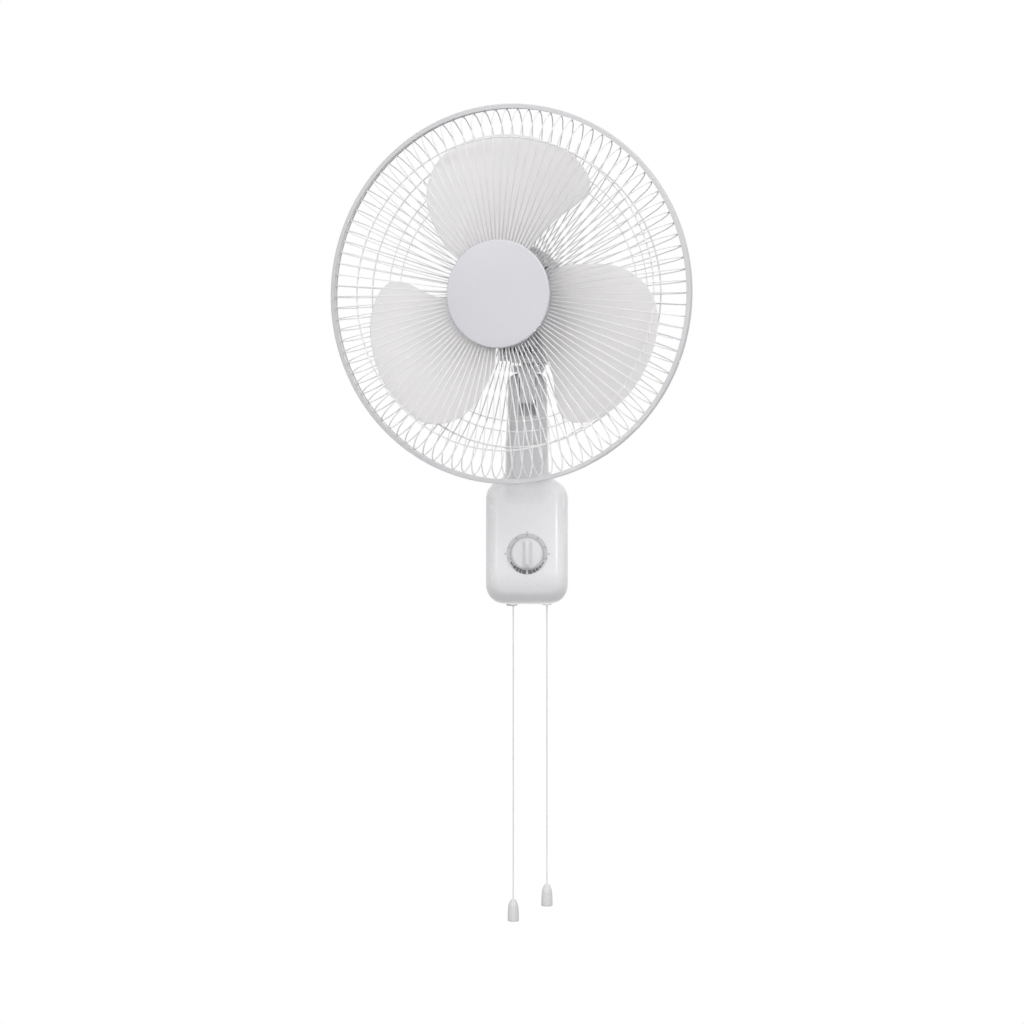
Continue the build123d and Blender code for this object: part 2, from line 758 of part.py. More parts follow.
with BuildPart() as tilt_bracket:
    with BuildSketch(tilt_side.offset(-tongue_width / 2)):
        Circle(tongue_radius)
        with Locations((-post_ahead + 3.0, (shoulder_low + 2.0) / 2)):
            Rectangle(26.0, shoulder_low + 2.0)
    extrude(amount=tongue_width)
    with BuildSketch(tilt_plane.offset(shoulder_low)):
        with Locations((0, -post_ahead)):
            Circle(flange_radius)
    extrude(amount=waist_low - shoulder_low)
    with BuildSketch(tilt_plane.offset(waist_low)):
        with Locations((0, -post_ahead)):
            Circle(waist_radius)
    extrude(amount=waist_high - waist_low)
    with BuildSketch(tilt_plane.offset(waist_high)):
        with Locations((0, -post_ahead)):
            Circle(flange_radius)
    extrude(amount=shoulder_high - waist_high)
    with BuildSketch(tilt_plane.offset(shoulder_low + 2.0)):
        with Locations((ear_x / 2, -post_ahead - ear_ahead)):
            Rectangle(abs(ear_x), 10.0)
        with Locations((ear_x, -post_ahead - ear_ahead)):
            Circle(5.0)
    extrude(amount=3.0)
    with BuildSketch(tilt_plane.offset(shoulder_low + 5.0)):
        with Locations((ear_x, -post_ahead - ear_ahead)):
            Circle(drive_pin_radius)
    extrude(amount=ear_top - shoulder_low - 5.0)
    with BuildSketch(tilt_plane.offset(shoulder_high)):
        with Locations((0, -post_ahead)):
            Circle(post_radius)
    extrude(amount=post_top - shoulder_high)
    with BuildSketch(tilt_plane.offset(post_top - 3.0)):
        with Locations((0, -post_ahead)):
            Circle(post_radius + 1.0)
            Circle(post_radius - 0.8, mode=Mode.SUBTRACT)
    extrude(amount=ring_thick + 0.1, mode=Mode.SUBTRACT)
    with BuildSketch(tilt_plane.offset(shoulder_low)):
        with Locations((0, -post_ahead)):
            Circle(post_bore)
    extrude(amount=post_top, mode=Mode.SUBTRACT)
    with BuildSketch(tilt_side.offset(-tongue_width)):
        Circle(bolt_radius + bolt_clear)
    extrude(amount=2 * tongue_width, mode=Mode.SUBTRACT)
save(tilt_bracket, "tilt_bracket")

with BuildPart() as post_ring:
    with BuildSketch(tilt_plane.offset(post_top - 3.0 + 0.05)):
        with Locations((0, -post_ahead)):
            Circle(post_radius + 3.0)
            Circle(post_radius - 0.75, mode=Mode.SUBTRACT)
            with Locations((0, -post_radius)):
                Rectangle(6.0, 2 * post_radius, mode=Mode.SUBTRACT)
    extrude(amount=ring_thick)
save(post_ring, "post_ring")

with BuildPart() as thrust_washer:
    with BuildSketch(tilt_plane.offset(shoulder_high)):
        with Locations((0, -post_ahead)):
            Circle(flange_radius - 1.0)
            Circle(post_radius + 0.1, mode=Mode.SUBTRACT)
    extrude(amount=washer_thick)
save(thrust_washer, "thrust_washer")

# ---------------------------------------------------------------- saddle and bush on the post
# heights in the swing frame are measured from the motor axis
post_crown = post_top - motor_rise
boss_bottom = chin_bottom + housing_wall + 0.1
boss_top = post_crown - 3.0 - 0.4
bush_radius = post_radius + bush_clear + bush_wall
front_upright = stator_front + 15.0 + plate_run / 2
rear_upright = stator_back - 15.0 - plate_run / 2
chin_floor_gap = shoulder_high + washer_thick + washer_clear - motor_rise

with BuildPart() as swing_bush:
    with BuildSketch(swing_plane.offset(boss_bottom)):
        Circle(bush_radius)
        Circle(post_radius + bush_clear, mode=Mode.SUBTRACT)
    extrude(amount=boss_top - boss_bottom)
save(swing_bush, "swing_bush")

with BuildPart() as swing_saddle:
    with BuildSketch(swing_plane.offset(boss_bottom)):
        Circle(bush_radius + 4.0)
        Circle(bush_radius, mode=Mode.SUBTRACT)
    extrude(amount=boss_top - boss_bottom)
    with BuildSketch(swing_plane.offset(boss_top - 5.0)):
        with Locations((0, -(front_upright + rear_upright) / 2)):
            Rectangle(30.0, front_upright - rear_upright)
        Circle(bush_radius + 2.0, mode=Mode.SUBTRACT)
    extrude(amount=4.0)
    for place, disc in ((front_upright, front_disc_radius), (rear_upright, rear_disc_radius)):
        with BuildSketch(swing_plane.offset(boss_top - 5.0)):
            with Locations((0, -place)):
                Rectangle(16.0, plate_run)
        extrude(amount=5.0 - boss_top - disc - 0.2)
save(swing_saddle, "swing_saddle")

# ---------------------------------------------------------------- motor housing
def housing_barrel(grow):
    """The housing's round body grown by grow: a straight barrel with a domed tail."""
    radius = housing_radius + grow
    tail = housing_back - grow
    with BuildPart() as barrel:
        with BuildSketch(axial_plane):
            with BuildLine():
                Polyline((0, housing_split + 40.0), (radius, housing_split + 40.0), (radius, -38.0))
                Spline((radius, -38.0), (0.93 * radius, -62.0), (0.62 * radius, tail + 7.0),
                       (0, tail), tangents=((0, -1), (-1, 0)))
                Line((0, tail), (0, housing_split + 40.0))
            make_face()
        revolve(axis=motor_axis)
    return barrel.part


def chin_block(grow, top):
    """The box under the barrel, rounded along its two lower edges."""
    with BuildPart() as block:
        with BuildSketch(head_plane.offset(chin_back - grow)) as chin_sketch:
            with BuildLine():
                half = chin_width / 2 + grow
                low = chin_bottom - grow
                Polyline((-half, top), (-half, low), (half, low), (half, top), close=True)
            make_face()
            corners = chin_sketch.vertices().sort_by(Axis(pivot, up_dir))[:2]
            fillet(corners, chin_corner + grow)
        extrude(amount=housing_split + 40.0 - chin_back + grow)
    return block.part


with BuildPart() as housing_solid:
    add(housing_barrel(0.0))
    add(chin_block(0.0, -20.0))
with BuildPart() as housing_hollow:
    add(housing_barrel(-housing_wall))
    add(chin_block(-housing_wall, -20.0))

seam_plane = head_plane.offset(housing_split)
with BuildPart() as motor_rear_cover:
    add(housing_solid.part)
    split(bisect_by=seam_plane, keep=Keep.BOTTOM)
    add(housing_hollow.part, mode=Mode.SUBTRACT)
    with BuildSketch(swing_plane.offset(chin_bottom - 1.0)):
        Circle(post_radius + 1.5)
        with Locations((drive_x, -drive_back)):
            Circle(5.0)
    extrude(amount=housing_wall + 2.0, mode=Mode.SUBTRACT)
    with BuildSketch(head_plane.offset(housing_back - 5.0)):
        with PolarLocations(22.0, 10):
            SlotOverall(18.0, 3.0)
    extrude(amount=30.0, mode=Mode.SUBTRACT)
save(motor_rear_cover, "motor_rear_cover")

cover_round = 9.0
vent_mid = (spigot_radius + housing_radius) / 2 + 4.0
vent_long = housing_radius - spigot_radius - 14.0
chin_top = -housing_radius + 6.0
bolt_end = housing_front - 4.0
with BuildPart() as motor_front_cover:
    with BuildSketch(head_plane.offset(housing_split + seam_gap)) as face_sketch:
        with BuildLine():
            half = chin_width / 2
            Polyline((-half, chin_top), (-half, chin_bottom), (half, chin_bottom), (half, chin_top),
                     close=True)
        make_face()
        corners = face_sketch.vertices().sort_by(Axis(pivot, up_dir))[:2]
        fillet(corners, chin_corner)
        Circle(housing_radius)
    extrude(amount=housing_front - housing_split - seam_gap)
    rim_edges = motor_front_cover.faces().sort_by(Axis(pivot, ahead_dir))[-1].outer_wire().edges()
    fillet(rim_edges, 5.0)
    with BuildSketch(head_plane.offset(housing_split)) as hollow_sketch:
        with BuildLine():
            half = chin_width / 2 - housing_wall
            low = chin_bottom + housing_wall
            Polyline((-half, chin_top), (-half, low), (half, low), (half, chin_top), close=True)
        make_face()
        corners = hollow_sketch.vertices().sort_by(Axis(pivot, up_dir))[:2]
        fillet(corners, chin_corner - housing_wall)
        Circle(housing_radius - housing_wall)
    extrude(amount=housing_front - housing_wall - housing_split, mode=Mode.SUBTRACT)
    with BuildSketch(head_plane.offset(housing_front - housing_wall)):
        Circle(spigot_radius)
    extrude(amount=spigot_length + housing_wall)
    with BuildSketch(head_plane.offset(housing_split)):
        Circle(spigot_bore)
    extrude(amount=housing_front + spigot_length, mode=Mode.SUBTRACT)
    with BuildSketch(head_plane.offset(housing_split + seam_gap)):
        with PolarLocations(stator_radius - 3.0, 4, 45):
            Circle(boss_radius)
    extrude(amount=housing_front - housing_wall / 2 - housing_split - seam_gap)
    with BuildSketch(head_plane.offset(housing_split)):
        with PolarLocations(stator_radius - 3.0, 4, 45):
            Circle(shank_radius)
    extrude(amount=bolt_end - housing_split, mode=Mode.SUBTRACT)
    with BuildSketch(head_plane.offset(housing_front - 2 * housing_wall)):
        with PolarLocations(vent_mid, vent_count):
            SlotOverall(vent_long, 3.4)
        for row in range(7):
            with Locations(((row - 3) * 6.4, (chin_bottom - housing_radius) / 2 + 1.0)):
                SlotOverall(12.0, 3.0, rotation=90)
    extrude(amount=3 * housing_wall, mode=Mode.SUBTRACT)
save(motor_front_cover, "motor_front_cover")

# ---------------------------------------------------------------- motor
bolt_circle = stator_radius - 3.0


def bearing_bracket(face, outward, disc):
    """Die-cast end plate with a bearing pocket that points outward along the motor axis."""
    with BuildPart() as plate:
        with BuildSketch(head_plane.offset(face)):
            Circle(disc)
            with PolarLocations(30.0, 6):
                Circle(7.0, mode=Mode.SUBTRACT)
            with PolarLocations(bolt_circle, 4, 45):
                Circle(shank_radius, mode=Mode.SUBTRACT)
        extrude(amount=outward * plate_run)
        with BuildSketch(head_plane.offset(face)):
            Circle(bearing_radius + 3.0)
        extrude(amount=outward * bearing_length)
        with BuildSketch(head_plane.offset(face - outward)):
            Circle(bearing_radius)
        extrude(amount=outward * (bearing_length + 2.0), mode=Mode.SUBTRACT)
    return plate


front_face = stator_front + 15.0
rear_face = stator_back - 15.0
save(bearing_bracket(front_face, 1, front_disc_radius), "front_bearing_bracket")
save(bearing_bracket(rear_face, -1, rear_disc_radius), "rear_bearing_bracket")

with BuildPart() as motor_bearings:
    for face, outward in ((front_face, 1), (rear_face, -1)):
        with BuildSketch(head_plane.offset(face)):
            Circle(bearing_radius)
            Circle(shaft_radius + bearing_clear, mode=Mode.SUBTRACT)
        extrude(amount=outward * bearing_length)
save(motor_bearings, "motor_bearings")

with BuildPart() as stator_core:
    with BuildSketch(head_plane.offset(stator_back)):
        Circle(stator_radius)
        Circle(rotor_radius + air_gap, mode=Mode.SUBTRACT)
        with PolarLocations(rotor_radius + air_gap + 4.0, 16):
            SlotOverall(7.0, 3.0, mode=Mode.SUBTRACT)
        with PolarLocations(bolt_circle, 4, 45):
            Circle(shank_radius, mode=Mode.SUBTRACT)
    extrude(amount=stator_front - stator_back)
save(stator_core, "stator_core")

with BuildPart() as stator_windings:
    for start, outward in ((stator_front, 1), (stator_back, -1)):
        with BuildSketch(head_plane.offset(start)):
            Circle(rotor_radius + air_gap + 8.0)
            Circle(rotor_radius + air_gap + 1.0, mode=Mode.SUBTRACT)
        extrude(amount=outward * coil_height)
    fillet(stator_windings.faces().sort_by(Axis(pivot, ahead_dir))[-1].edges(), 2.5)
    fillet(stator_windings.faces().sort_by(Axis(pivot, ahead_dir))[0].edges(), 2.5)
save(stator_windings, "stator_windings")

with BuildPart() as stator_bolts:
    with BuildSketch(head_plane.offset(rear_face - plate_run - 2.0)):
        with PolarLocations(bolt_circle, 4, 45):
            Circle(3.0)
    extrude(amount=2.0)
    with BuildSketch(head_plane.offset(rear_face - plate_run)):
        with PolarLocations(bolt_circle, 4, 45):
            Circle(shank_radius)
    extrude(amount=bolt_end - rear_face + plate_run)
save(stator_bolts, "stator_bolts")

with BuildPart() as rotor_core:
    with BuildSketch(head_plane.offset(stator_back - 1.0)):
        Circle(rotor_radius)
        Circle(shaft_radius, mode=Mode.SUBTRACT)
    extrude(amount=stator_front - stator_back + 2.0)
save(rotor_core, "rotor_core")

pin_place = hub_back + 14.0
pin_radius = 1.25
with BuildPart() as motor_shaft:
    with BuildSketch(head_plane.offset(shaft_back)):
        Circle(shaft_radius)
    extrude(amount=shaft_front - shaft_back)
    chamfer(motor_shaft.faces().sort_by(Axis(pivot, ahead_dir))[-1].edges(), 0.6)
    with BuildSketch(swing_plane.offset(-10.0)):
        with Locations((0, -pin_place)):
            Circle(pin_radius)
    extrude(amount=20.0, mode=Mode.SUBTRACT)
save(motor_shaft, "motor_shaft")

with BuildPart() as drive_pin:
    with BuildSketch(swing_plane.offset(-8.0)):
        with Locations((0, -pin_place)):
            Circle(pin_radius)
    extrude(amount=16.0)
save(drive_pin, "drive_pin")

# ---------------------------------------------------------------- swing drive under the motor
drive_floor = chin_bottom + housing_wall + 0.1
crank_top = chin_bottom - 0.6
crank_low = crank_top - 2.0
link_top = crank_low - 0.3
stud_low = link_top - link_thick - 0.6


def crank_xy(turn, reach, x, y):
    """A point at reach from (x, y), turn degrees round from the head's right towards its front."""
    return (x + reach * cos(radians(turn)), y - reach * sin(radians(turn)))


crank_end = crank_xy(crank_turn, crank_throw, drive_x, -drive_back)
link_end = crank_xy(link_turn, link_length, *crank_end)

with BuildPart() as swing_motor:
    with BuildSketch(swing_plane.offset(drive_floor)):
        with Locations((drive_x, -drive_back)):
            Circle(drive_radius)
    extrude(amount=drive_height)
    with BuildSketch(swing_plane.offset(drive_floor)):
        with Locations((drive_x, -drive_back)):
            Circle(2.5 + bush_clear)
    extrude(amount=8.0, mode=Mode.SUBTRACT)
save(swing_motor, "swing_motor")

with BuildPart() as swing_crank:
    with BuildSketch(swing_plane.offset(crank_low)):
        with Locations((drive_x, -drive_back)):
            Circle(6.0)
        with Locations(crank_end):
            Circle(4.5)
        with BuildLine():
            mid = ((drive_x + crank_end[0]) / 2, (-drive_back + crank_end[1]) / 2)
            Line((drive_x, -drive_back), crank_end)
    extrude(amount=crank_top - crank_low)
    with BuildSketch(swing_plane.offset(crank_low)):
        with Locations(mid):
            Rectangle(crank_throw, 8.0, rotation=-crank_turn)
    extrude(amount=crank_top - crank_low)
    with BuildSketch(swing_plane.offset(crank_top)):
        with Locations((drive_x, -drive_back)):
            Circle(2.5)
    extrude(amount=drive_floor - crank_top + 7.5)
    with BuildSketch(swing_plane.offset(stud_low)):
        with Locations(crank_end):
            Circle(drive_pin_radius)
    extrude(amount=crank_low - stud_low)
save(swing_crank, "swing_crank")

link_knee = crank_xy(link_turn - 90, link_bow, *crank_xy(link_turn, link_knee_at, *crank_end))
link_path = (crank_end, link_knee, link_end)

with BuildPart() as swing_link:
    with BuildSketch(swing_plane.offset(link_top - link_thick)):
        for (x0, y0), (x1, y1) in zip(link_path, link_path[1:]):
            with Locations(((x0 + x1) / 2, (y0 + y1) / 2)):
                slant = degrees(atan2(y1 - y0, x1 - x0))
                Rectangle(hypot(x1 - x0, y1 - y0), link_width, rotation=slant)
        with Locations(link_knee):
            Circle(link_width / 2)
        with Locations(crank_end):
            Circle(5.0)
        with Locations(link_end):
            Circle(eye_radius)
        with Locations(crank_end):
            Circle(drive_pin_radius + bolt_clear, mode=Mode.SUBTRACT)
        with Locations(link_end):
            Circle(drive_pin_radius + eye_slack, mode=Mode.SUBTRACT)
    extrude(amount=link_thick)
save(swing_link, "swing_link")

# ---------------------------------------------------------------- guards
hoop = hoop_ahead
rim_radius = hoop_lip + rim_wire
front_slope = (front_peak - front_rise) / (spoke_start - front_inner)
hoop_half = rim_offset + rim_wire + rim_slack + hoop_wall


def front_line(radius):
    """Height of the front spokes' centre line over the hoop plane at a radius."""
    return front_rise + (spoke_start - radius) * front_slope


def rear_line(radius):
    """Depth of the rear spokes' centre line behind the hoop plane, and its slope, at a radius."""
    if radius > rear_knee:
        slope = (rear_knee_depth - rear_rise) / (spoke_start - rear_knee)
        return rear_rise + (spoke_start - radius) * slope, slope
    slope = (rear_hub_depth - rear_knee_depth) / (rear_knee - rear_inner)
    return rear_knee_depth + (rear_knee - radius) * slope, slope


def spoke(points, radii):
    """One round wire bent along a flat path of straight runs and arcs, as (radius, height)."""
    flat = Plane(origin=(0, 0, 0), x_dir=(1, 0, 0), z_dir=(0, -1, 0))
    with BuildPart() as wire:
        with BuildLine(flat) as path:
            FilletPolyline(*points, radius=radii)
        with BuildSketch(Plane(origin=path.line @ 0, z_dir=path.line % 0)):
            Circle(guard_wire)
        sweep(path=path.line)
    return wire.part


def ring_of_wire(radius, height, wire_radius):
    """A wire ring about the motor axis, in the head's own frame."""
    with BuildPart() as ring:
        with BuildSketch(Plane(origin=(0, 0, 0), x_dir=(1, 0, 0), z_dir=(0, -1, 0))):
            with Locations((radius, height)):
                Circle(wire_radius)
        revolve(axis=Axis.Z)
    return ring.part


front_spoke = spoke([(spoke_start, hoop + 0.5), (spoke_start, hoop + front_rise),
                     (front_inner, hoop + front_peak)], [front_shoulder])
rear_spoke = spoke([(spoke_start, hoop - 0.5), (spoke_start, hoop - rear_rise),
                    (rear_knee, hoop - rear_knee_depth), (rear_inner, hoop - rear_hub_depth)],
                   [rear_shoulder, rear_knee_round])
ring_drop = guard_wire + ring_wire + weld_gap

with BuildPart(head_plane) as front_guard:
    with PolarLocations(0, guard_count):
        add(front_spoke)
    tilt_of_line = atan2(front_slope, 1.0)
    add(ring_of_wire(front_ring_at - ring_drop * sin(tilt_of_line),
                     hoop + front_line(front_ring_at) - ring_drop * cos(tilt_of_line), ring_wire))
    add(ring_of_wire(rim_radius, hoop + rim_offset, rim_wire))
save(front_guard, "front_guard")

hub_plate_front = hoop - rear_hub_depth - guard_wire - weld_gap
with BuildPart(head_plane) as rear_guard:
    with PolarLocations(0, guard_count):
        add(rear_spoke)
    for place in rear_ring_at:
        depth, slope = rear_line(place)
        lean = atan2(slope, 1.0)
        add(ring_of_wire(place - ring_drop * sin(lean), hoop - depth + ring_drop * cos(lean),
                         ring_wire))
    add(ring_of_wire(rim_radius, hoop - rim_offset, rim_wire))
    with BuildSketch(head_plane.offset(hub_plate_front)):
        Circle(plate_outer)
        Circle(plate_inner, mode=Mode.SUBTRACT)
        with PolarLocations(42.0, 9):
            SlotOverall(24.0, 17.0, rotation=90, mode=Mode.SUBTRACT)
    extrude(amount=-plate_thick)
save(rear_guard, "rear_guard")

# the two guards are held by a channel hoop that closes with a screw at the bottom
ear_gap = 2.0
ear_width = 7.0
ear_drop = 9.0
with BuildPart() as guard_hoop:
    with BuildSketch(axial_plane):
        with BuildLine():
            inner = hoop_radius - hoop_wall
            Polyline((hoop_lip, hoop - hoop_half), (hoop_radius - 0.8, hoop - hoop_half),
                     (hoop_radius, hoop - hoop_half + 0.8), (hoop_radius, hoop + hoop_half - 0.8),
                     (hoop_radius - 0.8, hoop + hoop_half), (hoop_lip, hoop + hoop_half),
                     (hoop_lip, hoop + hoop_half - hoop_wall), (inner, hoop + hoop_half - hoop_wall),
                     (inner, hoop - hoop_half + hoop_wall), (hoop_lip, hoop - hoop_half + hoop_wall),
                     close=True)
        make_face()
    revolve(axis=motor_axis)
    for side in (-1, 1):
        with BuildSketch(head_plane.offset(hoop - hoop_half + hoop_wall / 2)):
            with Locations((side * (ear_gap + ear_width) / 2, -(hoop_lip + hoop_radius) / 2)):
                Rectangle(ear_width, hoop_radius - hoop_lip - 0.6)
        extrude(amount=-ear_drop)
    with BuildSketch(head_plane.offset(hoop - hoop_half - ear_drop)):
        with Locations((0, -hoop_radius)):
            Rectangle(ear_gap, 4 * ear_width)
    extrude(amount=2 * hoop_half + 2 * ear_drop, mode=Mode.SUBTRACT)
    ear_screw = Plane(origin=head_plane.from_local_coords(
        (0, -(hoop_lip + hoop_radius) / 2, hoop - hoop_half - ear_drop / 2)),
        x_dir=up_dir, z_dir=right_dir)
    with BuildSketch(ear_screw.offset(-ear_width - ear_gap)):
        Circle(shank_radius)
    extrude(amount=2 * (ear_width + ear_gap), mode=Mode.SUBTRACT)
save(guard_hoop, "guard_hoop")

ear_reach = ear_width + ear_gap / 2
with BuildPart() as hoop_screw:
    with BuildSketch(ear_screw.offset(-ear_reach - 2.0)):
        Circle(2.6)
    extrude(amount=2.0)
    with BuildSketch(ear_screw.offset(-ear_reach)):
        Circle(shank_radius)
    extrude(amount=2 * ear_reach + 2.4)
save(hoop_screw, "hoop_screw")

with BuildPart() as hoop_nut:
    with BuildSketch(ear_screw.offset(ear_reach)):
        RegularPolygon(2.9, 6)
        Circle(shank_radius, mode=Mode.SUBTRACT)
    extrude(amount=2.0)
save(hoop_nut, "hoop_nut")

nut_back = hub_plate_front
with BuildPart() as guard_nut:
    with BuildSketch(head_plane.offset(nut_back)):
        Circle(guard_nut_radius)
        Circle(spigot_radius + 0.1, mode=Mode.SUBTRACT)
    extrude(amount=guard_nut_thick)
    with BuildSketch(head_plane.offset(nut_back + 1.5)):
        with PolarLocations(guard_nut_radius, 12):
            Circle(2.2)
    extrude(amount=guard_nut_thick, mode=Mode.SUBTRACT)
save(guard_nut, "guard_nut")

# ---------------------------------------------------------------- centre badge
clamp_front = hoop + front_line(clamp_radius) - guard_wire - weld_gap
screw_places = PolarLocations(badge_screw_at, 3, 30)

with BuildPart() as centre_badge:
    with BuildSketch(axial_plane):
        with BuildLine():
            edge = hoop + badge_edge
            crown = edge + badge_crown
            Line((0, crown - badge_wall), (0, crown))
            ThreePointArc((0, crown), (badge_radius * 0.5, edge + badge_crown * 0.76),
                          (badge_radius - 1.5, edge))
            ThreePointArc((badge_radius - 1.5, edge), (badge_radius - 0.44, edge - 0.44),
                          (badge_radius, edge - 1.5))
            Polyline((badge_radius, edge - 1.5), (badge_radius, edge - badge_skirt),
                     (badge_radius - badge_wall, edge - badge_skirt),
                     (badge_radius - badge_wall, edge - badge_wall))
            Line((badge_radius - badge_wall, edge - badge_wall), (0, crown - badge_wall))
        make_face()
    revolve(axis=motor_axis)
    with BuildSketch(head_plane.offset(clamp_front)):
        with PolarLocations(badge_screw_at, 3, 30):
            Circle(boss_radius)
    extrude(amount=edge - clamp_front - badge_wall / 2)
    with BuildSketch(head_plane.offset(clamp_front)):
        with PolarLocations(badge_screw_at, 3, 30):
            Circle(shank_radius)
    extrude(amount=3.5, mode=Mode.SUBTRACT)
save(centre_badge, "centre_badge")

with BuildPart() as badge_clamp:
    with BuildSketch(head_plane.offset(clamp_front)):
        Circle(clamp_radius)
        with PolarLocations(badge_screw_at, 3, 30):
            Circle(shank_radius + 0.2, mode=Mode.SUBTRACT)
    extrude(amount=-clamp_thick)
save(badge_clamp, "badge_clamp")

with BuildPart() as badge_screws:
    with BuildSketch(head_plane.offset(clamp_front - clamp_thick)):
        with PolarLocations(badge_screw_at, 3, 30):
            Circle(screw_head_radius)
    extrude(amount=-screw_head_height)
    with BuildSketch(head_plane.offset(clamp_front - clamp_thick)):
        with PolarLocations(badge_screw_at, 3, 30):
            Circle(shank_radius)
    extrude(amount=clamp_thick + 3.0)
save(badge_screws, "badge_screws")

# ---------------------------------------------------------------- propeller
# one blade's outline as (degrees from its middle line, radius), the trailing edge first
blade_outline = [(30, 34), (46, 52), (53, 76), (48, 110), (42, 142), (33, 168), (22, 183), (5, 186),
                 (-12, 183), (-25, 176), (-34, 164), (-37.5, 148), (-36, 126), (-31, 100),
                 (-27, 76), (-22, 52), (-20, 34)]
sheet_turns = range(-48, 73, 12)
sheet_radii = range(24, 205, 20)


def polar(turn, radius):
    """A point of the blade's outline, with its middle line along +Y."""
    return (radius * cos(radians(90 + turn)), radius * sin(radians(90 + turn)))


def blade_height(turn, radius):
    """Height of the blade's sheet: a steady climb towards the trailing edge, with a hollow back."""
    bow = (turn - 6.0) / 45.0
    return blade_middle + blade_pitch * radians(turn - 6.0) - blade_camber * bow**2 * radius / 150.0


with BuildPart() as blade_sheet:
    grid = [[Vector(*polar(turn, radius), blade_height(turn, radius) - blade_thick / 2)
             for radius in sheet_radii] for turn in sheet_turns]
    sheet_face = Face.make_surface_from_array_of_points(grid)
    thicken(to_thicken=sheet_face, amount=blade_thick)

with BuildPart() as blade:
    with BuildSketch(Plane.XY.offset(blade_middle - 60.0)):
        with BuildLine():
            outline = [polar(*p) for p in blade_outline]
            Spline(*outline)
            Line(outline[-1], outline[0])
        make_face()
    extrude(amount=120.0)
    add(blade_sheet.part, mode=Mode.INTERSECT)

with BuildPart() as hub_cup:
    with BuildSketch(Plane.XY.offset(hub_back)):
        Circle(hub_radius)
    extrude(amount=hub_front - hub_back)
    fillet(hub_cup.faces().sort_by(Axis.Z)[-1].edges(), 3.0)

with BuildPart(head_plane) as propeller:
    add(hub_cup.part)
    with PolarLocations(0, blade_count):
        add(blade.part)
    with BuildSketch(head_plane.offset(hub_back - 20.0)):
        Circle(hub_radius - hub_wall)
        Circle(bearing_radius + 1.0, mode=Mode.SUBTRACT)
    extrude(amount=hub_front - hub_wall - hub_back + 20.0, mode=Mode.SUBTRACT)
    for arm in range(3):
        with BuildSketch(head_plane.offset(hub_back + 12.0)):
            with PolarLocations((hub_radius + bearing_radius) / 2, 1, 30 + 120 * arm):
                Rectangle(hub_radius - bearing_radius, 2.0)
        extrude(amount=hub_front - hub_back - 13.0)
    with BuildSketch(head_plane.offset(hub_back - 1.0)):
        Circle(shaft_radius + 0.03)
    extrude(amount=hub_front - hub_back + 2.0, mode=Mode.SUBTRACT)
    with BuildSketch(swing_plane.offset(-8.5)):
        with Locations((0, -pin_place)):
            Circle(pin_radius + 0.1)
        with Locations((0, -pin_place + 10.0)):
            Rectangle(2 * pin_radius + 0.2, 20.0)
    extrude(amount=17.0, mode=Mode.SUBTRACT)
save(propeller, "propeller")

with BuildPart() as spinner:
    with BuildSketch(axial_plane):
        with BuildLine():
            low = hub_front + 0.1
            Polyline((shaft_radius + 0.03, low), (spinner_radius, low), (spinner_radius, low + 2.5))
            ThreePointArc((spinner_radius, low + 2.5), (spinner_radius * 0.72, low + 7.4),
                          (6.0, low + spinner_height))
            Polyline((6.0, low + spinner_height), (shaft_radius + 0.03, low + spinner_height),
                     (shaft_radius + 0.03, low))
        make_face()
    revolve(axis=motor_axis)
    with BuildSketch(head_plane.offset(hub_front + 0.1 + 1.5)):
        with PolarLocations(spinner_radius + 1.0, 8):
            Circle(3.0)
    extrude(amount=spinner_height, mode=Mode.SUBTRACT)
save(spinner, "spinner")
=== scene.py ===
# %% [markdown]
# # A white wall fan, dressed for the camera
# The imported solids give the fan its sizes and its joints. This script puts the visible
# surfaces on them: the wire guards, the blade, the round badge, the dial and the cords.
# It is written to be read from top to bottom, one piece at a time.

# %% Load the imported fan
import json
from math import cos, pi, radians, sin

import bmesh
import bpy
import numpy as np
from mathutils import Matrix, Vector

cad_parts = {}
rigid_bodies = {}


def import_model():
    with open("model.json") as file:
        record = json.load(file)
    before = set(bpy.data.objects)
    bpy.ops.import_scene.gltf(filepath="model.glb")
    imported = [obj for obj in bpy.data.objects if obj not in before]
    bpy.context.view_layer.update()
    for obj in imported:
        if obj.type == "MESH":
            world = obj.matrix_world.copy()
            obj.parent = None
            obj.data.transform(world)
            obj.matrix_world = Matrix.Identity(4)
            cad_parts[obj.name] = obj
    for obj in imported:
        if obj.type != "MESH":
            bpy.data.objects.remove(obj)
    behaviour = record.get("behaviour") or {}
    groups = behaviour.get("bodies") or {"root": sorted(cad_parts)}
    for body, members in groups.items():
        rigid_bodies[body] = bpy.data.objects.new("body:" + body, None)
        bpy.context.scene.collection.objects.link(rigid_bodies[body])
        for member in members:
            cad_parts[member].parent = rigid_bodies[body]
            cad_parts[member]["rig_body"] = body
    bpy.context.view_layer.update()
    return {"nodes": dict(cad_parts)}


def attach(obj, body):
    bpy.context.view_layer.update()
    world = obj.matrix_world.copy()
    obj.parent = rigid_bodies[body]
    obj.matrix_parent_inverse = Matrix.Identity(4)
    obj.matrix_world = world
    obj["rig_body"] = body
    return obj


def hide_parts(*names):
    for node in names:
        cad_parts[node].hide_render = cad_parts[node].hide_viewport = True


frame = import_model()
nodes = frame["nodes"]
MM = 0.001
print("nodes in the frame:", len(nodes))

# %% [markdown]
# ## The frames of the head
# The head is stored nodding a little down and turned a little to the left. Its pieces could be
# made upright and turned afterwards, but a finished piece's object stays unturned. So each
# point is placed straight away, from the spot where the upright post meets the motor's axis:
# how far to the right, how far up, and how far ahead along the axis.

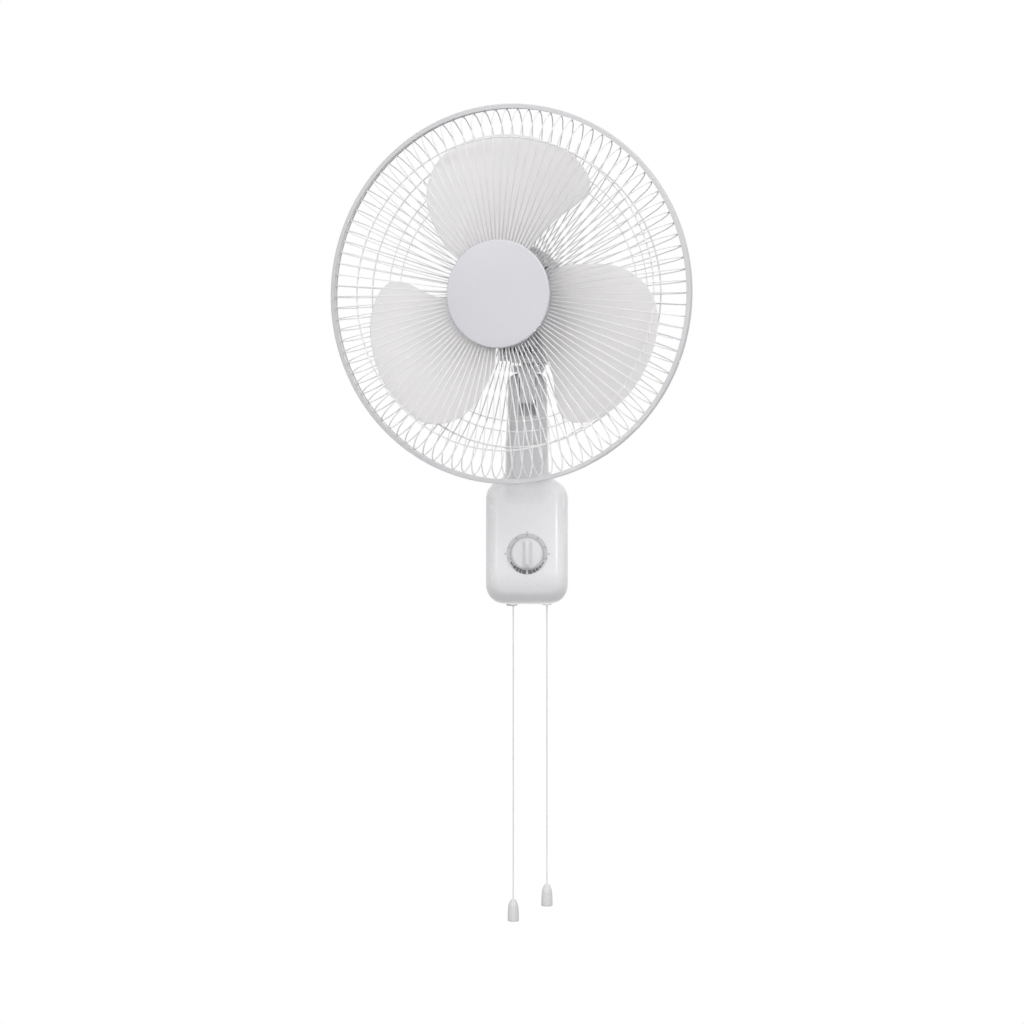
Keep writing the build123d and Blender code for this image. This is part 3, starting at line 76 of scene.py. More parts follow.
# %% Directions of the head
NOD, TURN = radians(3.5), radians(18.0)
UP = np.array([0.0, -sin(NOD), cos(NOD)])
BACK = np.array([0.0, cos(NOD), sin(NOD)])
RIGHT = np.array([cos(TURN), -sin(TURN) * cos(NOD), -sin(TURN) * sin(NOD)])
AHEAD = np.array([-sin(TURN), -cos(TURN) * cos(NOD), -cos(TURN) * sin(NOD)])
BOLT = np.array([0.0, -143.0, 184.0])
POST_BEHIND, AXIS_OVER = 10.0, 110.0    # the post behind the bolt, the motor's axis over it
PIVOT = BOLT - POST_BEHIND * BACK + AXIS_OVER * UP
HOOP = 79.0                             # the guard's hoop lies this far ahead of the post


def head(right, up, ahead):
    """World points, in metres, from millimetres to the right, up and ahead of the pivot."""
    right, up, ahead = np.broadcast_arrays(right, up, ahead)
    spot = PIVOT + right[..., None] * RIGHT + up[..., None] * UP + ahead[..., None] * AHEAD
    return spot * MM


print("pivot of the head, mm:", PIVOT.round(2))

# %% [markdown]
# ## Meshes from grids of points
# A tube, a dome or a blade is a function of two parameters. Blender's own primitives would
# need many cuts to take these shapes. Worked out on a grid, each is an array of points, and
# its faces join each point to its neighbours. A pole is a row of points at one place, which
# merging turns into a single vertex.

# %% Grid to mesh
MERGE = 2e-6                            # metres: points closer than this become one


def grid_faces(shape, wrap_rows, wrap_columns):
    """Quads of a grid: each corner index with its right, lower and diagonal neighbours."""
    index = np.arange(shape[0] * shape[1]).reshape(shape[:2])
    if wrap_rows:
        index = np.vstack([index, index[:1]])
    if wrap_columns:
        index = np.hstack([index, index[:, :1]])
    corners = (index[:-1, :-1], index[1:, :-1], index[1:, 1:], index[:-1, 1:])
    return np.stack(corners, axis=-1).reshape(-1, 4)


def mesh_object(name, points, faces, body, material, smooth=True):
    """An object at the origin from points in metres and faces, merged and facing outwards."""
    mesh = bpy.data.meshes.new(name)
    mesh.vertices.add(len(points))
    mesh.vertices.foreach_set("co", np.asarray(points, np.float32).ravel())
    sides = faces.shape[1]
    mesh.loops.add(faces.size)
    mesh.loops.foreach_set("vertex_index", faces.astype(np.int32).ravel())
    mesh.polygons.add(len(faces))
    mesh.polygons.foreach_set("loop_start", np.arange(0, faces.size, sides, dtype=np.int32))
    mesh.update(calc_edges=True)
    work = bmesh.new()
    work.from_mesh(mesh)
    bmesh.ops.remove_doubles(work, verts=work.verts, dist=MERGE)
    bmesh.ops.recalc_face_normals(work, faces=work.faces)
    work.to_mesh(mesh)
    work.free()
    mesh.shade_smooth() if smooth else mesh.shade_flat()
    mesh.materials.append(material)
    piece = bpy.data.objects.new(name, mesh)
    bpy.context.scene.collection.objects.link(piece)
    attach(piece, body)
    return piece


def joined(grids):
    """Points and quads of several grids, each given as (points, wrap_rows, wrap_columns)."""
    points, faces, start = [], [], 0
    for spots, wrap_rows, wrap_columns in grids:
        points.append(spots.reshape(-1, 3))
        faces.append(grid_faces(spots.shape, wrap_rows, wrap_columns) + start)
        start += spots.shape[0] * spots.shape[1]
    return np.concatenate(points), np.concatenate(faces)


def creased(piece, degrees=35.0):
    """Marks the edges sharper than a given angle, so that the flats meet in a clean line."""
    piece.data.set_sharp_from_angle(angle=radians(degrees))


# %% [markdown]
# ## Finishes
# Nearly all of the fan is white, so its parts are told apart by gloss and by the smallest
# texture: the shells are polished mouldings, the blade is a little softer, and the wires
# wear a powder coat whose skin is slightly dimpled. Painted images could carry this, but they
# need an unwrapped surface. Noise on Object coordinates needs none, so each finish is a
# Principled shader with one noise for faint differences of tone and a finer one for the bump.

# %% A shader for mouldings, coatings and metals
CLOUD_SCALE, CLOUD_DETAIL = 14.0, 3.0   # drifts of tone a few centimetres wide
SKIN_DETAIL, DENT_DEPTH = 2.0, 0.0004   # the fine skin, and its depth in metres
COAT_ROUGHNESS = 0.2
SMOOTHER, ROUGHER, SMOOTHEST = 0.04, 0.05, 0.02     # how far the roughness wanders


def finish(name, colour, roughness, grain=900.0, bump=0.02, tone=0.03, metallic=0.0, coat=0.0):
    """A shader whose colour drifts by tone, with a fine bump of the given grain per metre."""
    material = bpy.data.materials.new(name)
    material.use_nodes = True
    tree = material.node_tree
    shader = tree.nodes["Principled BSDF"]
    shader.inputs["Metallic"].default_value = metallic
    shader.inputs["Coat Weight"].default_value = coat
    shader.inputs["Coat Roughness"].default_value = COAT_ROUGHNESS
    place = tree.nodes.new("ShaderNodeTexCoord")
    cloud = tree.nodes.new("ShaderNodeTexNoise")
    cloud.inputs["Scale"].default_value = CLOUD_SCALE
    cloud.inputs["Detail"].default_value = CLOUD_DETAIL
    tree.links.new(place.outputs["Object"], cloud.inputs["Vector"])
    ramp = tree.nodes.new("ShaderNodeValToRGB")
    ramp.color_ramp.elements[0].position = 0.3
    ramp.color_ramp.elements[1].position = 0.7
    ramp.color_ramp.elements[0].color = [c * (1.0 - tone) for c in colour] + [1.0]
    ramp.color_ramp.elements[1].color = [min(1.0, c * (1.0 + tone)) for c in colour] + [1.0]
    tree.links.new(cloud.outputs["Fac"], ramp.inputs["Fac"])
    tree.links.new(ramp.outputs["Color"], shader.inputs["Base Color"])
    skin = tree.nodes.new("ShaderNodeTexNoise")
    skin.inputs["Scale"].default_value = grain
    skin.inputs["Detail"].default_value = SKIN_DETAIL
    tree.links.new(place.outputs["Object"], skin.inputs["Vector"])
    dent = tree.nodes.new("ShaderNodeBump")
    dent.inputs["Strength"].default_value = bump
    dent.inputs["Distance"].default_value = DENT_DEPTH
    tree.links.new(skin.outputs["Fac"], dent.inputs["Height"])
    tree.links.new(dent.outputs["Normal"], shader.inputs["Normal"])
    gloss = tree.nodes.new("ShaderNodeMapRange")
    gloss.inputs["To Min"].default_value = max(SMOOTHEST, roughness - SMOOTHER)
    gloss.inputs["To Max"].default_value = roughness + ROUGHER
    tree.links.new(skin.outputs["Fac"], gloss.inputs["Value"])
    tree.links.new(gloss.outputs["Result"], shader.inputs["Roughness"])
    return material


# %% [markdown]
# The whites are not alike on the real fan. Wires and blades are the palest, the shells the
# glossiest, and the badge, the hoop, the bells and the knob are a shade greyer. One white for
# all would be simpler, but then the badge would not stand out from the blades behind it.

# %% The whites, the print with the knob's painted shadow, the metals and the dark plastics
white_shell = finish("white_moulding", (0.80, 0.795, 0.815), 0.27,
                     bump=0.015, tone=0.012, coat=0.6)
badge_white = finish("badge_moulding", (0.65, 0.645, 0.685), 0.34, bump=0.02, tone=0.012)
blade_white = finish("blade_moulding", (0.82, 0.805, 0.815), 0.38,
                     grain=500.0, bump=0.03, tone=0.015)
wire_white = finish("coated_wire", (0.84, 0.835, 0.845), 0.36,
                    grain=2500.0, bump=0.12, tone=0.03)
hoop_white = finish("hoop_moulding", (0.62, 0.615, 0.635), 0.42,
                    grain=1400.0, bump=0.05, tone=0.02)
bell_white = finish("bell_moulding", (0.66, 0.655, 0.66), 0.35,
                    grain=1500.0, bump=0.05, tone=0.03)
knob_white = finish("knob_moulding", (0.74, 0.74, 0.755), 0.38,
                    bump=0.02, tone=0.012, coat=0.08)
# Dark ink for the ticks and numbers, also used for the blocks below the knob, which are partly
# painted shadow of the knob.
ink_and_painted_shadow = finish("dial_ink_and_painted_shadow", (0.13, 0.13, 0.135), 0.5, grain=3000.0, bump=0.04, tone=0.15)
print_ground = finish("dial_ground", (0.58, 0.58, 0.595), 0.4,
                      grain=2500.0, bump=0.04, tone=0.03)
zinc = finish("zinc_plate", (0.62, 0.62, 0.64), 0.34,
              grain=1800.0, bump=0.08, tone=0.10, metallic=1.0)
cast = finish("cast_alloy", (0.60, 0.61, 0.62), 0.55,
              grain=1400.0, bump=0.35, tone=0.08, metallic=0.5)
laminated = finish("laminated_steel", (0.16, 0.16, 0.17), 0.5,
                   grain=4000.0, bump=0.3, tone=0.2, metallic=0.8)
copper = finish("varnished_copper", (0.40, 0.13, 0.05), 0.3,
                grain=3500.0, bump=0.5, tone=0.25, metallic=0.9)
bronze = finish("sintered_bronze", (0.42, 0.27, 0.11), 0.45,
                grain=5000.0, bump=0.3, tone=0.15, metallic=1.0)
nylon = finish("natural_nylon", (0.72, 0.71, 0.66), 0.45, grain=1500.0, bump=0.06, tone=0.03)
black_plastic = finish("black_moulding", (0.022, 0.022, 0.024), 0.42,
                       grain=1600.0, bump=0.08, tone=0.15)
rubber = finish("grey_rubber", (0.055, 0.055, 0.058), 0.75, grain=2200.0, bump=0.2, tone=0.15)

# %% [markdown]
# The cords are thin twisted fibre. Strands could be modelled one by one, but each is finer
# than a pixel here. The twist is a wave that climbs round the cord instead: slanted bands on
# Object coordinates, about one turn for each cord diameter and a half.

# %% Twisted fibre
BAND_SCALE, STRAND_DEPTH = 130.0, 0.0003


def twisted_fibre():
    """Pale fibre with slanted bands for its strands."""
    material = finish("twisted_fibre", (0.80, 0.77, 0.72), 0.8, grain=3000.0, bump=0.3, tone=0.06)
    tree = material.node_tree
    place = tree.nodes.new("ShaderNodeTexCoord")
    slant = tree.nodes.new("ShaderNodeMapping")
    slant.inputs["Rotation"].default_value = (radians(35.0), radians(30.0), 0.0)
    bands = tree.nodes.new("ShaderNodeTexWave")
    bands.bands_direction = "Z"
    bands.inputs["Scale"].default_value = BAND_SCALE
    strands = tree.nodes.new("ShaderNodeBump")
    strands.inputs["Strength"].default_value = 0.8
    strands.inputs["Distance"].default_value = STRAND_DEPTH
    tree.links.new(place.outputs["Object"], slant.inputs["Vector"])
    tree.links.new(slant.outputs["Vector"], bands.inputs["Vector"])
    tree.links.new(bands.outputs["Fac"], strands.inputs["Height"])
    tree.links.new(strands.outputs["Normal"], tree.nodes["Principled BSDF"].inputs["Normal"])
    return material


fibre = twisted_fibre()
print("finishes:", len(bpy.data.materials))

# %% [markdown]
# ## Camera
# The photograph is taken from straight in front, at about the height of the wall base. A short
# lens close by could frame the fan as well, but it would swell the near side of the guard. In
# the photograph that side is only a little larger than the far one, so the lens is long.

# %% Camera
LENS, SENSOR = 75.9, 36.0
EYE = (-0.0186, -2.74, 0.0368)
camera = bpy.data.objects.new("camera", bpy.data.cameras.new("camera"))
camera.data.lens = LENS
camera.data.sensor_width = SENSOR
camera.location = EYE
camera.rotation_euler = (radians(90.0), 0.0, 0.0)
bpy.context.scene.collection.objects.link(camera)
bpy.context.scene.camera = camera
print("camera, m:", EYE)

# %% [markdown]
# ## Bells of the pull cords
# Each cord ends in a hollow plastic bell with shallow flutes for the fingers. It could be a
# bevelled cylinder; a profile of (radius, height) turned about the cord gives its crown, its
# swelling flanks, its rounded mouth and its wall in one surface.

# %% Turned profiles and bells
CORD_Y, CORD_RADIUS = -45.0, 0.8
BELL_HOLE, BELL_FLUTES, FLUTE_DEPTH = 0.85, 12, 0.018


def revolved(profile, place, segments):
    """A profile of (radius, height) turned about an upright axis through place, all in mm."""
    turn = np.linspace(0.0, 2.0 * pi, segments, endpoint=False)
    radius, height = np.asarray(profile, float).T
    x = place[0] + radius[:, None] * np.cos(turn)
    y = place[1] + radius[:, None] * np.sin(turn)
    z = np.broadcast_to(place[2] + height[:, None], x.shape)
    return np.stack([x, y, z], axis=-1) * MM


def smooth_profile(corners, count):
    """Points along a Catmull-Rom curve through corners, evenly in each span."""
    corners = np.asarray(corners, float)
    padded = np.vstack([2 * corners[0] - corners[1], corners, 2 * corners[-1] - corners[-2]])
    t = np.linspace(0.0, 1.0, count, endpoint=False)[:, None]
    spans = [0.5 * (2 * b + (c - a) * t + (2 * a - 5 * b + 4 * c - d) * t**2
                    + (3 * b - a - 3 * c + d) * t**3)
             for a, b, c, d in zip(padded, padded[1:], padded[2:], padded[3:])]
    return np.vstack(spans + [corners[-1:]])


def pull_bell(name, x, top, segments=96):
    """A hollow bell: a round crown, flanks that swell, and a rounded mouth with a wall.

    The flutes draw the flanks in by FLUTE_DEPTH times the square of (1 + cos) / 2."""
    flank = smooth_profile([(3.5, -0.5), (3.9, -1.6), (5.0, -3.6), (6.3, -7.5), (6.9, -14.0),
                            (7.15, -20.0), (7.2, -24.5)], 6)
    lip = [(7.15, -25.7), (6.8, -26.4), (6.3, -26.3), (6.1, -25.4)]
    inner = smooth_profile([(6.0, -23.5), (5.7, -14.0), (4.6, -7.0), (2.6, -3.0)], 6)
    profile = np.vstack([[(BELL_HOLE, 0.0), (2.9, 0.0)], flank, lip, inner,
                         [(BELL_HOLE, -1.4), (BELL_HOLE, 0.0)]])
    spots = revolved(profile, (x, CORD_Y, top), segments)
    middle = np.array([x, CORD_Y]) * MM
    turn = np.linspace(0.0, 2.0 * pi, segments, endpoint=False)
    outside = np.zeros(len(profile))
    outside[4:2 + len(flank)] = 1.0
    wave = (0.5 + 0.5 * np.cos(BELL_FLUTES * turn)) ** 2
    flutes = 1.0 - FLUTE_DEPTH * outside[:, None] * wave
    spots[..., :2] = middle + (spots[..., :2] - middle) * flutes[..., None]
    points, faces = joined([(spots, False, True)])
    bell = mesh_object(f"{name}_bell", points, faces, f"{name}_pull", bell_white)
    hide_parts(f"{name}_pull_bell")
    return bell


# %% [markdown]
# ## Pull cords
# Two cords hang straight down from their switches. Limp fibre under the weight of its bell has
# no bends of its own, so simulating it would add nothing: each is a NURBS line with a round
# bevel, from the plunger in the box to just inside its bell.

# %% Cords, with the bells they end in
CORDS = (("speed", -17.0, -447.0), ("swing", 25.0, -428.0))     # name, x, top of the bell
PLUNGER, BELOW_BOX, IN_BELL = -62.0, -90.0, 1.2
for name, x, top in CORDS:
    line = bpy.data.curves.new(f"{name}_pull_line", "CURVE")
    line.dimensions = "3D"
    line.bevel_depth = CORD_RADIUS * MM
    line.bevel_resolution = 3
    line.use_fill_caps = True
    spline = line.splines.new("NURBS")
    levels = np.array([PLUNGER, PLUNGER - 8.0, BELOW_BOX, (top + BELOW_BOX) / 2, top + 20.0,
                       top - IN_BELL])
    spline.points.add(len(levels) - 1)
    for point, level in zip(spline.points, levels):
        point.co = (x * MM, CORD_Y * MM, level * MM, 1.0)
    spline.order_u = 3
    spline.use_endpoint_u = True
    line.materials.append(fibre)
    cord = bpy.data.objects.new(f"{name}_pull_line", line)
    bpy.context.scene.collection.objects.link(cord)
    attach(cord, f"{name}_pull")
    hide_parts(f"{name}_cord")
    bell = pull_bell(name, x, top)

# %% [markdown]
# ## Guard wires
# A guard is a hundred spokes bent from round wire. Each starts at the rim, turns in over a
# rounded shoulder and runs to the middle. An array modifier could repeat one spoke, but numpy
# does it in a single step: the bent line is found once as (radius, height), a small circle is
# carried along it, and all the copies are turned about the motor's axis together.


# %% Bent line, spokes and rings
def bent_line(corners, radii, arc_steps=6):
    """A flat line through corners, each inner corner replaced by an arc of the given radius.

    The arc's centre lies on the line that halves the corner, radius / sin(half) from it."""
    corners = [np.array(c, float) for c in corners]
    line = [corners[0][None]]
    for before, corner, after, radius in zip(corners, corners[1:], corners[2:], radii):
        inward = (before - corner) / np.linalg.norm(before - corner)
        onward = (after - corner) / np.linalg.norm(after - corner)
        half = 0.5 * np.arccos(np.clip(inward @ onward, -1, 1))
        run = radius / np.tan(half)
        middle = (inward + onward) / np.linalg.norm(inward + onward)
        centre = corner + middle * radius / np.sin(half)
        start, end = corner + inward * run - centre, corner + onward * run - centre
        share = np.linspace(0.0, 1.0, arc_steps)[:, None]
        spread = np.arccos(np.clip(start @ end / radius**2, -1, 1))
        arc = np.sin((1 - share) * spread) * start + np.sin(share * spread) * end
        line.append(centre + arc / np.sin(spread))
    line.append(corners[-1][None])
    return np.vstack(line)


def spokes(line, wire, count, sides=6):
    """A wire of radius wire along line, repeated count times round the motor's axis.

    Each point is line + wire * (cos a * normal + sin a * across), then turned by its spoke's
    angle. The wire closes in a point at each end."""
    slope = np.gradient(line, axis=0)
    slope /= np.linalg.norm(slope, axis=1)[:, None]
    normal = np.stack([-slope[:, 1], slope[:, 0]], axis=1)
    around = np.linspace(0.0, 2.0 * pi, sides, endpoint=False)
    thick = np.full(len(line), wire)
    line = np.vstack([line[:1], line, line[-1:]])
    normal = np.vstack([normal[:1], normal, normal[-1:]])
    thick = np.concatenate([[0.0], thick, [0.0]])[:, None]
    radius = line[:, :1] + thick * np.cos(around) * normal[:, :1]
    height = line[:, 1:] + thick * np.cos(around) * normal[:, 1:]
    across = thick * np.sin(around) * np.ones_like(radius)
    turn = (2.0 * pi * np.arange(count) / count)[:, None, None]
    right = radius * np.cos(turn) - across * np.sin(turn)
    up = radius * np.sin(turn) + across * np.cos(turn)
    ahead = HOOP + height * np.ones_like(right)
    return [(spot, False, True) for spot in head(right, up, ahead)]


def wire_ring(radius, height, wire, segments=240, sides=8):
    """A torus about the motor's axis, height ahead of the hoop's plane."""
    turn = np.linspace(0.0, 2.0 * pi, segments, endpoint=False)[:, None]
    around = np.linspace(0.0, 2.0 * pi, sides, endpoint=False)
    reach = radius + wire * np.cos(around)
    ahead = HOOP + height + wire * np.sin(around) + 0.0 * turn
    return head(reach * np.cos(turn), reach * np.sin(turn), ahead), True, True


# %% [markdown]
# The front guard is shallow and comes to a flat disc; the rear guard drops faster and then
# runs level to the motor. Front and rear wires start at the same places on the hoop, so that
# from a little to the side each pair parts in an arch. One ring ties the front wires together,
# and one of the same wire with two thin ones inside it ties those at the rear.

# %% Both guards
SPOKES, SPOKE_START, WIRE = 100, 213.4, 0.7
RIM_RADIUS, RIM_AHEAD, RIM_WIRE = 216.1, 1.8, 1.7
RING_WIRE, THIN_WIRE = 0.9, 0.55
FRONT_RING = (180.0, 18.1, RING_WIRE)   # radius, height over the hoop, radius of the wire
REAR_RINGS = ((177.5, -24.7, RING_WIRE), (159.5, -32.9, THIN_WIRE), (147.0, -35.9, THIN_WIRE))
front_line = bent_line([(SPOKE_START, 0.5), (209.6, 10.5), (198.0, 19.1), (48.0, 31.0)],
                       [16.0, 16.0])
rear_line = bent_line([(SPOKE_START, -0.5), (209.4, -9.0), (200.0, -18.2), (150.0, -38.0),
                       (45.0, -46.0)], [14.0, 16.0, 20.0])
front_grids = spokes(front_line, WIRE, SPOKES)
front_grids.append(wire_ring(*FRONT_RING))
front_grids.append(wire_ring(RIM_RADIUS, RIM_AHEAD, RIM_WIRE))
points, faces = joined(front_grids)
front_wires = mesh_object("front_guard_wires", points, faces, "head", wire_white)
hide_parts("front_guard")

rear_grids = spokes(rear_line, WIRE, SPOKES)
for ring in REAR_RINGS:
    rear_grids.append(wire_ring(*ring))
rear_grids.append(wire_ring(RIM_RADIUS, -RIM_AHEAD, RIM_WIRE))
points, faces = joined(rear_grids)
rear_wires = mesh_object("rear_guard_wires", points, faces, "head", wire_white)
print("front wires:", len(front_wires.data.polygons), "faces")
print("rear wires:", len(rear_wires.data.polygons), "faces")

# %% [markdown]
# The rear wires are welded to a pressed hub plate with windows between its arms, which lets
# the motor's cooling air through. The windows could be cut out of a disc, but a cut leaves
# long thin faces. Two rings with arms between them give the same plate with clean quads.

# %% Hub plate of the rear guard
PLATE_BACK, PLATE_FRONT, PLATE_ARMS = 30.2, 31.7, 9
INNER_RING, OUTER_RING = (19.6, 31.0), (53.0, 60.0)     # inner and outer radius
ARM_RUN, ARM_HALF, ARM_FLARE = (30.0, 54.0), 3.0, 3.0


def turned(profile, segments=192, closed=True):
    """A profile of (radius, ahead) turned about the motor's axis, ahead of the post."""
    turn = np.linspace(0.0, 2.0 * pi, segments, endpoint=False)
    radius, ahead = np.asarray(profile, float).T
    right = radius[:, None] * np.cos(turn)
    up = radius[:, None] * np.sin(turn)
    return head(right, up, ahead[:, None] + 0.0 * right), closed, True


def ring_plate(inner, outer, low, high, segments=144):
    """A flat ring with a rectangular section."""
    section = [(inner, low), (outer, low), (outer, high), (inner, high)]
    return turned(section, segments)


def plate_arm(turn, inner, outer, half, low, high, steps=12):
    """An arm between two rings: a bar whose half width grows by ARM_FLARE at both ends, with
    the fourth power of the way from its middle."""
    reach = np.linspace(inner, outer, steps)
    flare = half + ARM_FLARE * ((reach - reach.mean()) / (reach[-1] - reach.mean())) ** 4
    corners = np.array([(-1, low), (1, low), (1, high), (-1, high)], float)
    across = flare[:, None] * corners[:, 0]
    right = reach[:, None] * cos(turn) - across * sin(turn)
    up = reach[:, None] * sin(turn) + across * cos(turn)
    return head(right, up, corners[:, 1] + 0.0 * across), False, True


plate_grids = [ring_plate(*INNER_RING, PLATE_BACK, PLATE_FRONT),
               ring_plate(*OUTER_RING, PLATE_BACK, PLATE_FRONT)]
for arm in range(PLATE_ARMS):
    plate_grids.append(plate_arm(2 * pi * (arm + 0.5) / PLATE_ARMS, *ARM_RUN, ARM_HALF,
                                 PLATE_BACK, PLATE_FRONT))
points, faces = joined(plate_grids)
hub_plate = mesh_object("rear_guard_plate", points, faces, "head", wire_white)
creased(hub_plate)
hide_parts("rear_guard")
print("hub plate:", len(hub_plate.data.polygons), "faces")

# %% [markdown]
# ## The hoop
# A moulded hoop clips round the two steel rims. Its section is a channel with rounded outer
# corners, and it closes with a small screw between two ears at the bottom. The section could
# be a curve's bevel object, but turned as points it keeps its sizes exactly.

# %% Hoop
HOOP_HALF, HOOP_WALL, HOOP_LIP, HOOP_OUTER, HOOP_ROUND = 4.6, 0.9, 214.4, 219.6, 1.2
EAR_SIDE, EAR_UP, EAR_AHEAD, EAR_HALF = 4.5, -217.0, HOOP - 10.6, (3.5, 2.7, 4.7)


def hoop_section():
    """The channel's closed section, with its outer corners rounded."""
    corner = np.linspace(0.0, pi / 2, 6)
    back = np.stack([HOOP_OUTER - HOOP_ROUND + HOOP_ROUND * np.sin(corner),
                     -HOOP_HALF + HOOP_ROUND - HOOP_ROUND * np.cos(corner)], axis=1)
    front = back[::-1] * [1.0, -1.0]
    bottom, flange = HOOP_OUTER - HOOP_WALL, HOOP_HALF - HOOP_WALL
    inside = [(HOOP_LIP, HOOP_HALF), (HOOP_LIP, flange), (bottom, flange),
              (bottom, -flange), (HOOP_LIP, -flange), (HOOP_LIP, -HOOP_HALF)]
    return np.vstack([back, front, inside]) + [0.0, HOOP]


def soft_block(centre, half_sizes, power=6.0, steps=12):
    """A rounded block in the head's frame, closed at its poles.

    Its surface is where |x/a|^p + |y/b|^p + |z/c|^p = 1."""
    polar = np.linspace(0.0, pi, steps)[:, None]
    turn = np.linspace(0.0, 2 * pi, 2 * steps, endpoint=False)
    ball = np.stack([np.sin(polar) * np.cos(turn), np.sin(polar) * np.sin(turn),
                     np.cos(polar) + 0.0 * turn], axis=-1)
    size = (np.abs(ball) ** power).sum(axis=-1, keepdims=True) ** (1.0 / power)
    spot = np.asarray(centre) + ball / size * np.asarray(half_sizes)
    return head(spot[..., 0], spot[..., 1], spot[..., 2]), False, True


hoop_grids = [turned(hoop_section(), 288)]
for side in (-1, 1):
    hoop_grids.append(soft_block((side * EAR_SIDE, EAR_UP, EAR_AHEAD), EAR_HALF))
points, faces = joined(hoop_grids)
hoop = mesh_object("guard_clip_hoop", points, faces, "head", hoop_white)
creased(hoop, 40.0)
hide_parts("guard_hoop")
print("hoop:", len(hoop.data.polygons), "faces")

# %% [markdown]
# ## The badge
# The middle of the front guard is a round, slightly crowned disc with a short skirt, and three
# small bosses behind it take the screws. A flattened sphere would be crowned too much near its
# edge. A turned profile rises evenly, and its rounded edge, which catches the light, gets
# several rows of points.

# %% Badge
FACE_RADIUS, EDGE_ROUND, CROWN, BADGE_RADIUS = 60.2, 1.8, 2.6, 62.0
BOSS_PLACE, BOSS_OUTER, BOSS_HOLE = 34.0, 4.0, 1.6
badge_edge = HOOP + 36.0
arc = np.linspace(0.0, pi / 2, 7)
crown = np.linspace(0.0, FACE_RADIUS, 16)
crown_rise = CROWN * (1.0 - (crown / FACE_RADIUS) ** 2)
rim = np.stack([FACE_RADIUS + EDGE_ROUND * np.sin(arc),
                badge_edge - EDGE_ROUND + EDGE_ROUND * np.cos(arc)], axis=1)
badge_profile = np.vstack([
    np.stack([crown, badge_edge + crown_rise], axis=1), rim[1:],
    [(BADGE_RADIUS, badge_edge - 3.8), (FACE_RADIUS, badge_edge - 3.8),
     (60.0, badge_edge - 2.0), (57.0, badge_edge - 1.6), (0.0, badge_edge + 0.6)]])
points, faces = joined([turned(badge_profile, closed=False)])
badge = mesh_object("front_badge", points, faces, "head", badge_white)
creased(badge, 50.0)

boss_front, boss_back = badge_edge - 2.0, badge_edge - 5.6
points, faces = joined([turned([(BOSS_OUTER, boss_front), (BOSS_HOLE, boss_front),
                                (BOSS_HOLE, boss_back), (BOSS_OUTER, boss_back)], 24)])
bosses = []
for turn in (30.0, 150.0, 270.0):
    shift = BOSS_PLACE * MM * (cos(radians(turn)) * RIGHT + sin(radians(turn)) * UP)
    bosses.append((points + shift, faces))
boss_points = np.concatenate([b[0] for b in bosses])
boss_faces = np.concatenate([b[1] + i * len(points) for i, b in enumerate(bosses)])
badge_bosses = mesh_object("badge_bosses", boss_points, boss_faces, "head",
                           badge_white)
creased(badge_bosses)
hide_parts("centre_badge")
print("badge:", len(badge.data.polygons), "faces, with", len(bosses), "bosses")

# %% [markdown]
# ## The blade
# Three broad blades with a round nose stand on one cup. A plane bent by modifiers could give
# the twist, but not this outline. Here the outline is a closed curve of (angle, radius), and
# the surface climbs towards the trailing edge like a screw. Shrinking the outline towards a
# point in its middle fills it with rings of points; the thickness fades to a round edge.

# %% Blade outline and sheet
OUTLINE = [(30, 34), (46, 52), (53, 76), (48, 110), (42, 142), (33, 168), (22, 183), (5, 186),
           (-12, 183), (-25, 176), (-34, 164), (-37.5, 148), (-36, 126), (-31, 100), (-27, 76),
           (-22, 52), (-20, 34)]
BLADE_MIDDLE, PITCH, CAMBER, THICK = 76.0, 24.0, 4.0, 2.2
BLADE_LINE, BLADE_HALF, CAMBER_RADIUS = 6.0, 45.0, 150.0    # degrees, degrees, mm
BLADE_HEART = np.array([8.0, 118.0])    # the point that the outline shrinks to


def blade_height(turn, radius):
    """Height of the sheet: a steady climb with the angle, less a hollow that deepens outwards."""
    off_line = turn - BLADE_LINE
    hollow = CAMBER * (off_line / BLADE_HALF) ** 2 * radius / CAMBER_RADIUS
    return BLADE_MIDDLE + PITCH * np.radians(off_line) - hollow


def blade_grid(facing, rows=18):
    """One blade, as rings of its outline shrunk towards BLADE_HEART: out over the front, then
    back in behind. Half its thickness fades with the root of 1 - share^8."""
    turn, radius = smooth_profile(OUTLINE, 7).T
    turn = np.radians(90 + turn)
    edge = np.stack([radius * np.cos(turn), radius * np.sin(turn)], axis=1)
    foot = np.linspace(edge[-1], edge[0], 12)[1:-1]
    edge = np.vstack([edge, foot])
    share = np.sin(np.linspace(0.0, pi / 2, rows))
    flat = BLADE_HEART + share[:, None, None] * (edge - BLADE_HEART)
    reach = np.hypot(flat[..., 0], flat[..., 1])
    angle = np.degrees(np.arctan2(flat[..., 1], flat[..., 0])) - 90.0
    half = THICK / 2 * np.sqrt(np.clip(1.0 - share**8, 0.0, 1.0))[:, None]
    middle_height = blade_height(angle, reach)
    front, back = middle_height + half, middle_height - half
    height = np.vstack([front, back[::-1][1:]])
    x = np.vstack([flat[..., 0], flat[::-1][1:, :, 0]])
    y = np.vstack([flat[..., 1], flat[::-1][1:, :, 1]])
    right = x * cos(facing) - y * sin(facing)
    up = x * sin(facing) + y * cos(facing)
    return head(right, up, height), False, True


blade_grids = [blade_grid(2 * pi * k / 3) for k in range(3)]
print("points in each blade:", blade_grids[0][0][..., 0].size)

# %% [markdown]
# The cup in the middle is a turned profile with a rounded front edge, and three ribs inside it
# reach to the shaft's sleeve. Blades, cup and ribs are one moulding on the real fan. They could
# be three pieces here, but as one mesh they move and wear their finish together.

